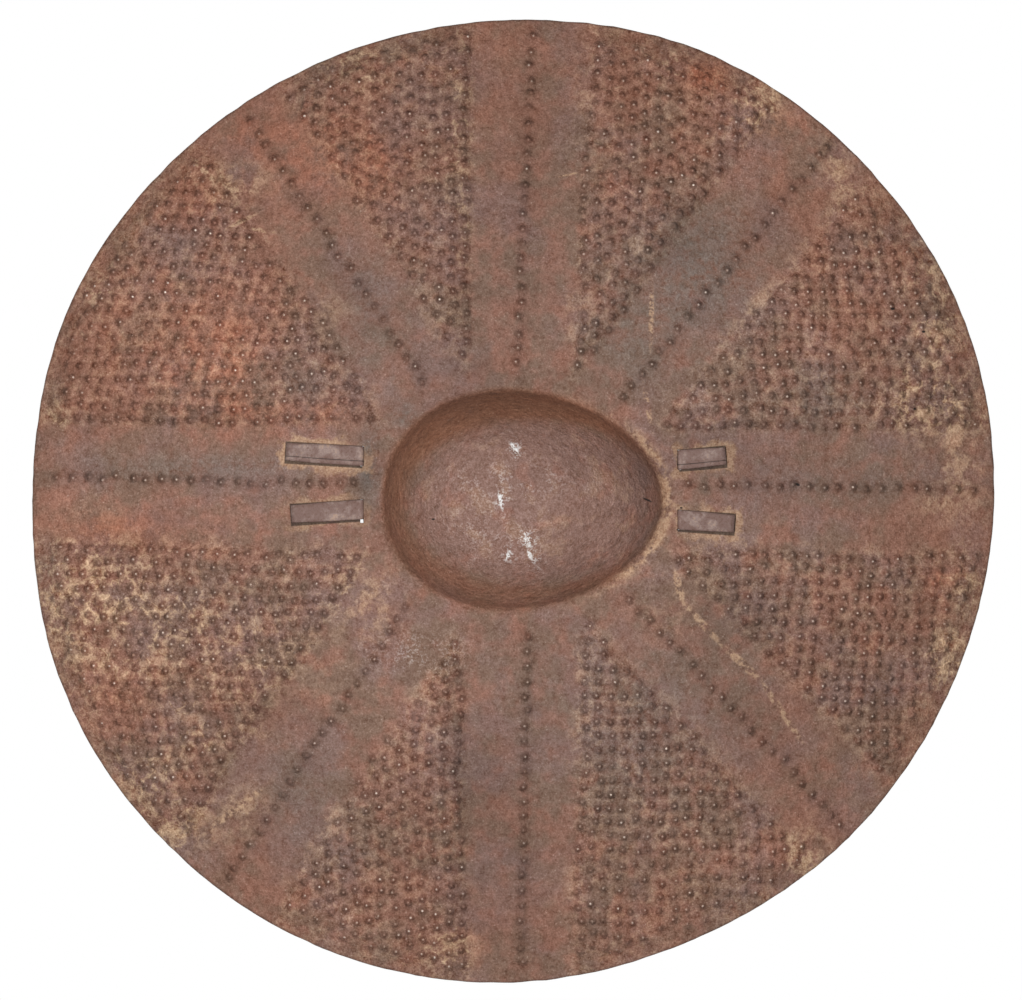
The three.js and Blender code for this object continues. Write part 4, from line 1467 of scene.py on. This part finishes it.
def studio_world(fill):
    """An even light all round that shows as plain white"""
    world = bpy.data.worlds.new("studio")
    world.use_nodes = True
    f = Finish(world.node_tree)
    seen = None
    for kind in ("Is Camera Ray", "Is Glossy Ray", "Is Transmission Ray"):
        ray = f.node("ShaderNodeLightPath", output=kind)
        seen = ray if seen is None else f.math("MAXIMUM", seen, ray)
    strength = fill + seen * (1 - fill)
    light = f.node("ShaderNodeBackground", None, {"Color": WHITE, "Strength": strength})
    f.node("ShaderNodeOutputWorld", None, {"Surface": light})
    bpy.context.scene.world = world


def patch_amount(points, kind):
    """How strongly the patches of one kind colour each point"""
    total = np.zeros(len(points))
    for x, z, reach_x, reach_z, amount in PATCHES[kind]:
        away = (points / MILLIMETRE - (x, z)) / (reach_x, reach_z)
        total += amount * np.exp(-(away**2).sum(axis=1))
    return total


def field_attributes(form, flat):
    """How far each point is in a field, how dusty the crease beside one is and the painted shade on its
    slope, painted light where below 0
    """
    field, crease, shade = (np.zeros(len(flat)) for _ in range(3))
    open_sheet = form.between_ring_and_rim(flat)
    for place in FIELDS:
        insides = form.inside_edges(flat, place)
        field = np.maximum(field, smooth(np.minimum(*insides) / FIELD_SOFTNESS + 0.5))
        for side, turn in ((0, 1), (1, -1)):
            _, way = form.edges[place.name][side]
            lit = -turn * np.dot(way, LIGHT_SIDE)
            ledge = open_sheet * smooth(insides[1 - side] / LEDGE_SOFTNESS)
            crease += (CREASE_LEVEL + CREASE_LIT * lit) * hill(insides[side], *CREASE_HILL) * ledge
            # painted shade on slopes facing away from the light, painted light on slopes facing it
            shade += (SLOPE_LEVEL + SLOPE_LIT * lit) * hill(insides[side], *SLOPE_HILL) * ledge
    return field, crease, shade


def sheet_attributes(mesh, form, marks):
    """Writes on each point what the rust needs to know about its place"""
    count = len(mesh.vertices)
    places, normals = np.empty(count * 3), np.empty(count * 3)
    mesh.vertices.foreach_get("co", places)
    mesh.vertices.foreach_get("normal", normals)
    flat = places.reshape(-1, 3)[:, ::2] + GRIP_MIDDLE
    on_face = normals.reshape(-1, 3)[:, 1] < 0

    nearest, distance = nearest_marks(flat, marks)
    radius, tip, dark = np.array([(mark.radius, mark.tip, mark.dark) for mark in marks])[nearest].T
    field, crease, edge_shade = field_attributes(form, flat)
    # painted shade along each band's row of marks
    groove = np.zeros(count)
    for band in BANDS:
        start = form.egg(math.radians(band.ring), form.sizes.moat_width)
        line = np.array((start, form.rim_point(band.rim)))
        groove = np.maximum(groove, hill(distance_to_line(flat, line), *GROOVE_HILL))
    share, reach = share_of_way(flat, form.middle, form.foot)
    past_foot = (share - 1) * reach
    out_of_dome, way = polar((flat - DOME_MIDDLE) / DOME_HALF_SIZES)
    flank = smooth((out_of_dome - FLANK_START) / FLANK_SOFTNESS)
    flank *= smooth(FLANK_END - past_foot / FLANK_END_SOFTNESS)
    # painted shade: stronger at the top
    flank *= FLANK_LEVEL + FLANK_SHADE_SWING * np.cos(way - math.radians(FLANK_SHADE_TOWARDS))
    outer = smooth((polar(flat)[0] - OUTER_START) / OUTER_WIDTH)
    values = {
        "punch": np.minimum(distance / radius, PUNCH_REACH),
        "face": on_face.astype(float),
        "tip": tip * on_face,
        "dark": dark,
        "field": field,
        "crease": crease,
        "groove": groove,
        "outer": outer * (OUTER_LEVEL + OUTER_RISE * flat[:, 1]),
        "rim": smooth(1 - form.to_rim(flat) / RIM_DARK_WIDTH),
        "dome": smooth((DOME_EDGE - out_of_dome) / DOME_SOFTNESS),
        "flank": flank,
    }
    for kind in PATCHES:
        values[kind] = patch_amount(flat, kind) * (BACK_PATCH_SHARE + (1 - BACK_PATCH_SHARE) * on_face)
    values["dust"] += FOOT_DUST * hill(past_foot, *FOOT_HILL) * np.clip(np.cos(way), 0, 1) ** 2
    # the fields' slopes: painted shade and painted light
    values["shade"] += edge_shade
    for name, value in values.items():
        layer = mesh.attributes.new(name, "FLOAT", "POINT")
        layer.data.foreach_set("value", value.astype(np.float32))


def new_piece(name, mesh, node, material):
    """Puts a finished mesh in the scene in place of a node of the frame"""
    mesh.name = name
    piece = placed(name, mesh)
    mesh.materials.append(material)
    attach(piece, "root")
    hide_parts(node)


class SHIELD_OT_sheet(Operator):
    """Beats the sheet: boss, sunk ring, swollen fields, bare bands, punch marks and hand-cut rim"""

    bl_idname = "shield.sheet"
    bl_label = "Beaten sheet"

    def execute(self, context):
        form = SheetForm(context.scene.shield_sheet)
        marks = all_marks(form)
        mesh = beaten_sheet(form, marks, context.scene.shield_straps)
        sheet_attributes(mesh, form, marks)
        material = rusted_iron(context.scene.shield_colours, context.scene.shield_straps)
        new_piece("beaten_sheet", mesh, "plate", material)
        return {"FINISHED"}


class SHIELD_OT_straps(Operator):
    """Forges the two grip straps with their folded ends"""

    bl_idname = "shield.straps"
    bl_label = "Grip straps"

    def execute(self, context):
        form = SheetForm(context.scene.shield_sheet)
        material = forged_iron(context.scene.shield_colours)
        for strap in STRAPS:
            mesh = forged_strap(form, context.scene.shield_straps, strap)
            new_piece(f"forged_{strap.node}", mesh, strap.node, material)
        return {"FINISHED"}


class SHIELD_OT_stage(Operator):
    """Sets up the camera, the two soft lamps, the white surroundings and the floor"""

    bl_idname = "shield.stage"
    bl_label = "Studio"

    def execute(self, context):
        stage = context.scene.shield_stage
        scene = context.scene
        scene.view_settings.view_transform = "Standard"
        studio_world(stage.fill)
        self.add_camera(scene, stage)
        self.add_lamp(stage, "soft_lamp", -1, stage.lamp_power)
        self.add_lamp(stage, "back_lamp", 1, stage.back_power)
        self.add_floor(stage)
        return {"FINISHED"}

    def add_camera(self, scene, stage):
        camera = bpy.data.cameras.new("camera")
        point = stage.picture_scale * MILLIMETRE
        camera.sensor_width = SENSOR_WIDTH
        camera.lens = SENSOR_WIDTH * stage.camera_distance / (PICTURE_SIZE[0] * point)
        camera.clip_end = CLIP_SHARE * stage.camera_distance
        holder = placed("camera", camera)
        x = (PICTURE_SIZE[0] / 2 - DISC_CENTRE[0]) * point - GRIP_MIDDLE[0]
        z = (DISC_CENTRE[1] - PICTURE_SIZE[1] / 2) * point - GRIP_MIDDLE[1]
        holder.location = (x, -stage.camera_distance, z)
        holder.rotation_euler = (math.pi / 2, 0, 0)
        scene.camera = holder

    def add_lamp(self, stage, name, side, power):
        lamp = bpy.data.lights.new(name, "AREA")
        lamp.shape = "DISK"
        lamp.size = stage.lamp_width
        lamp.energy = power
        holder = placed(name, lamp)
        holder.location = (LAMP_PLACE[0], side * stage.lamp_distance, LAMP_PLACE[1])
        aim = Vector((-GRIP_MIDDLE[0], 0, -GRIP_MIDDLE[1])) - holder.location
        holder.rotation_euler = aim.to_track_quat("-Z", "Y").to_euler()
        holder.visible_camera = False

    def add_floor(self, stage):
        bm = bmesh.new()
        bmesh.ops.create_grid(bm, x_segments=1, y_segments=1, size=FLOOR_REACH)
        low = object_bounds()[0].z - stage.floor_drop
        bmesh.ops.translate(bm, verts=bm.verts, vec=(0, 0, low))
        floor = placed("floor", finished(bm, "floor"))
        floor.data.materials.append(studio_paper())
        floor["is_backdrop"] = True


class SHIELD_PT_panel(Panel):
    """Lists the sizes, the colours and the steps"""

    bl_idname = "SHIELD_PT_panel"
    bl_label = "Iron dance shield"
    bl_space_type = "VIEW_3D"
    bl_region_type = "UI"
    bl_category = "Shield"

    def draw(self, context):
        for name, group in GROUPS.items():
            box = self.layout.box()
            box.label(text=group.__doc__)
            for key in group.__annotations__:
                box.prop(getattr(context.scene, name), key)
        for step in STEPS:
            self.layout.operator(step.bl_idname)


GROUPS = {
    "shield_sheet": ShieldSheetSizes,
    "shield_straps": ShieldStrapSizes,
    "shield_colours": ShieldColours,
    "shield_stage": ShieldStage,
}
STEPS = (SHIELD_OT_stage, SHIELD_OT_sheet, SHIELD_OT_straps)
CLASSES = (*GROUPS.values(), *STEPS, SHIELD_PT_panel)


def register():
    for cls in CLASSES:
        bpy.utils.register_class(cls)
    for name, group in GROUPS.items():
        setattr(bpy.types.Scene, name, PointerProperty(type=group))


def unregister():
    for name in GROUPS:
        delattr(bpy.types.Scene, name)
    for cls in reversed(CLASSES):
        bpy.utils.unregister_class(cls)


def main():
    register()
    bpy.ops.shield.stage()
    bpy.ops.shield.sheet()
    bpy.ops.shield.straps()


if __name__ == "__main__":
    main()
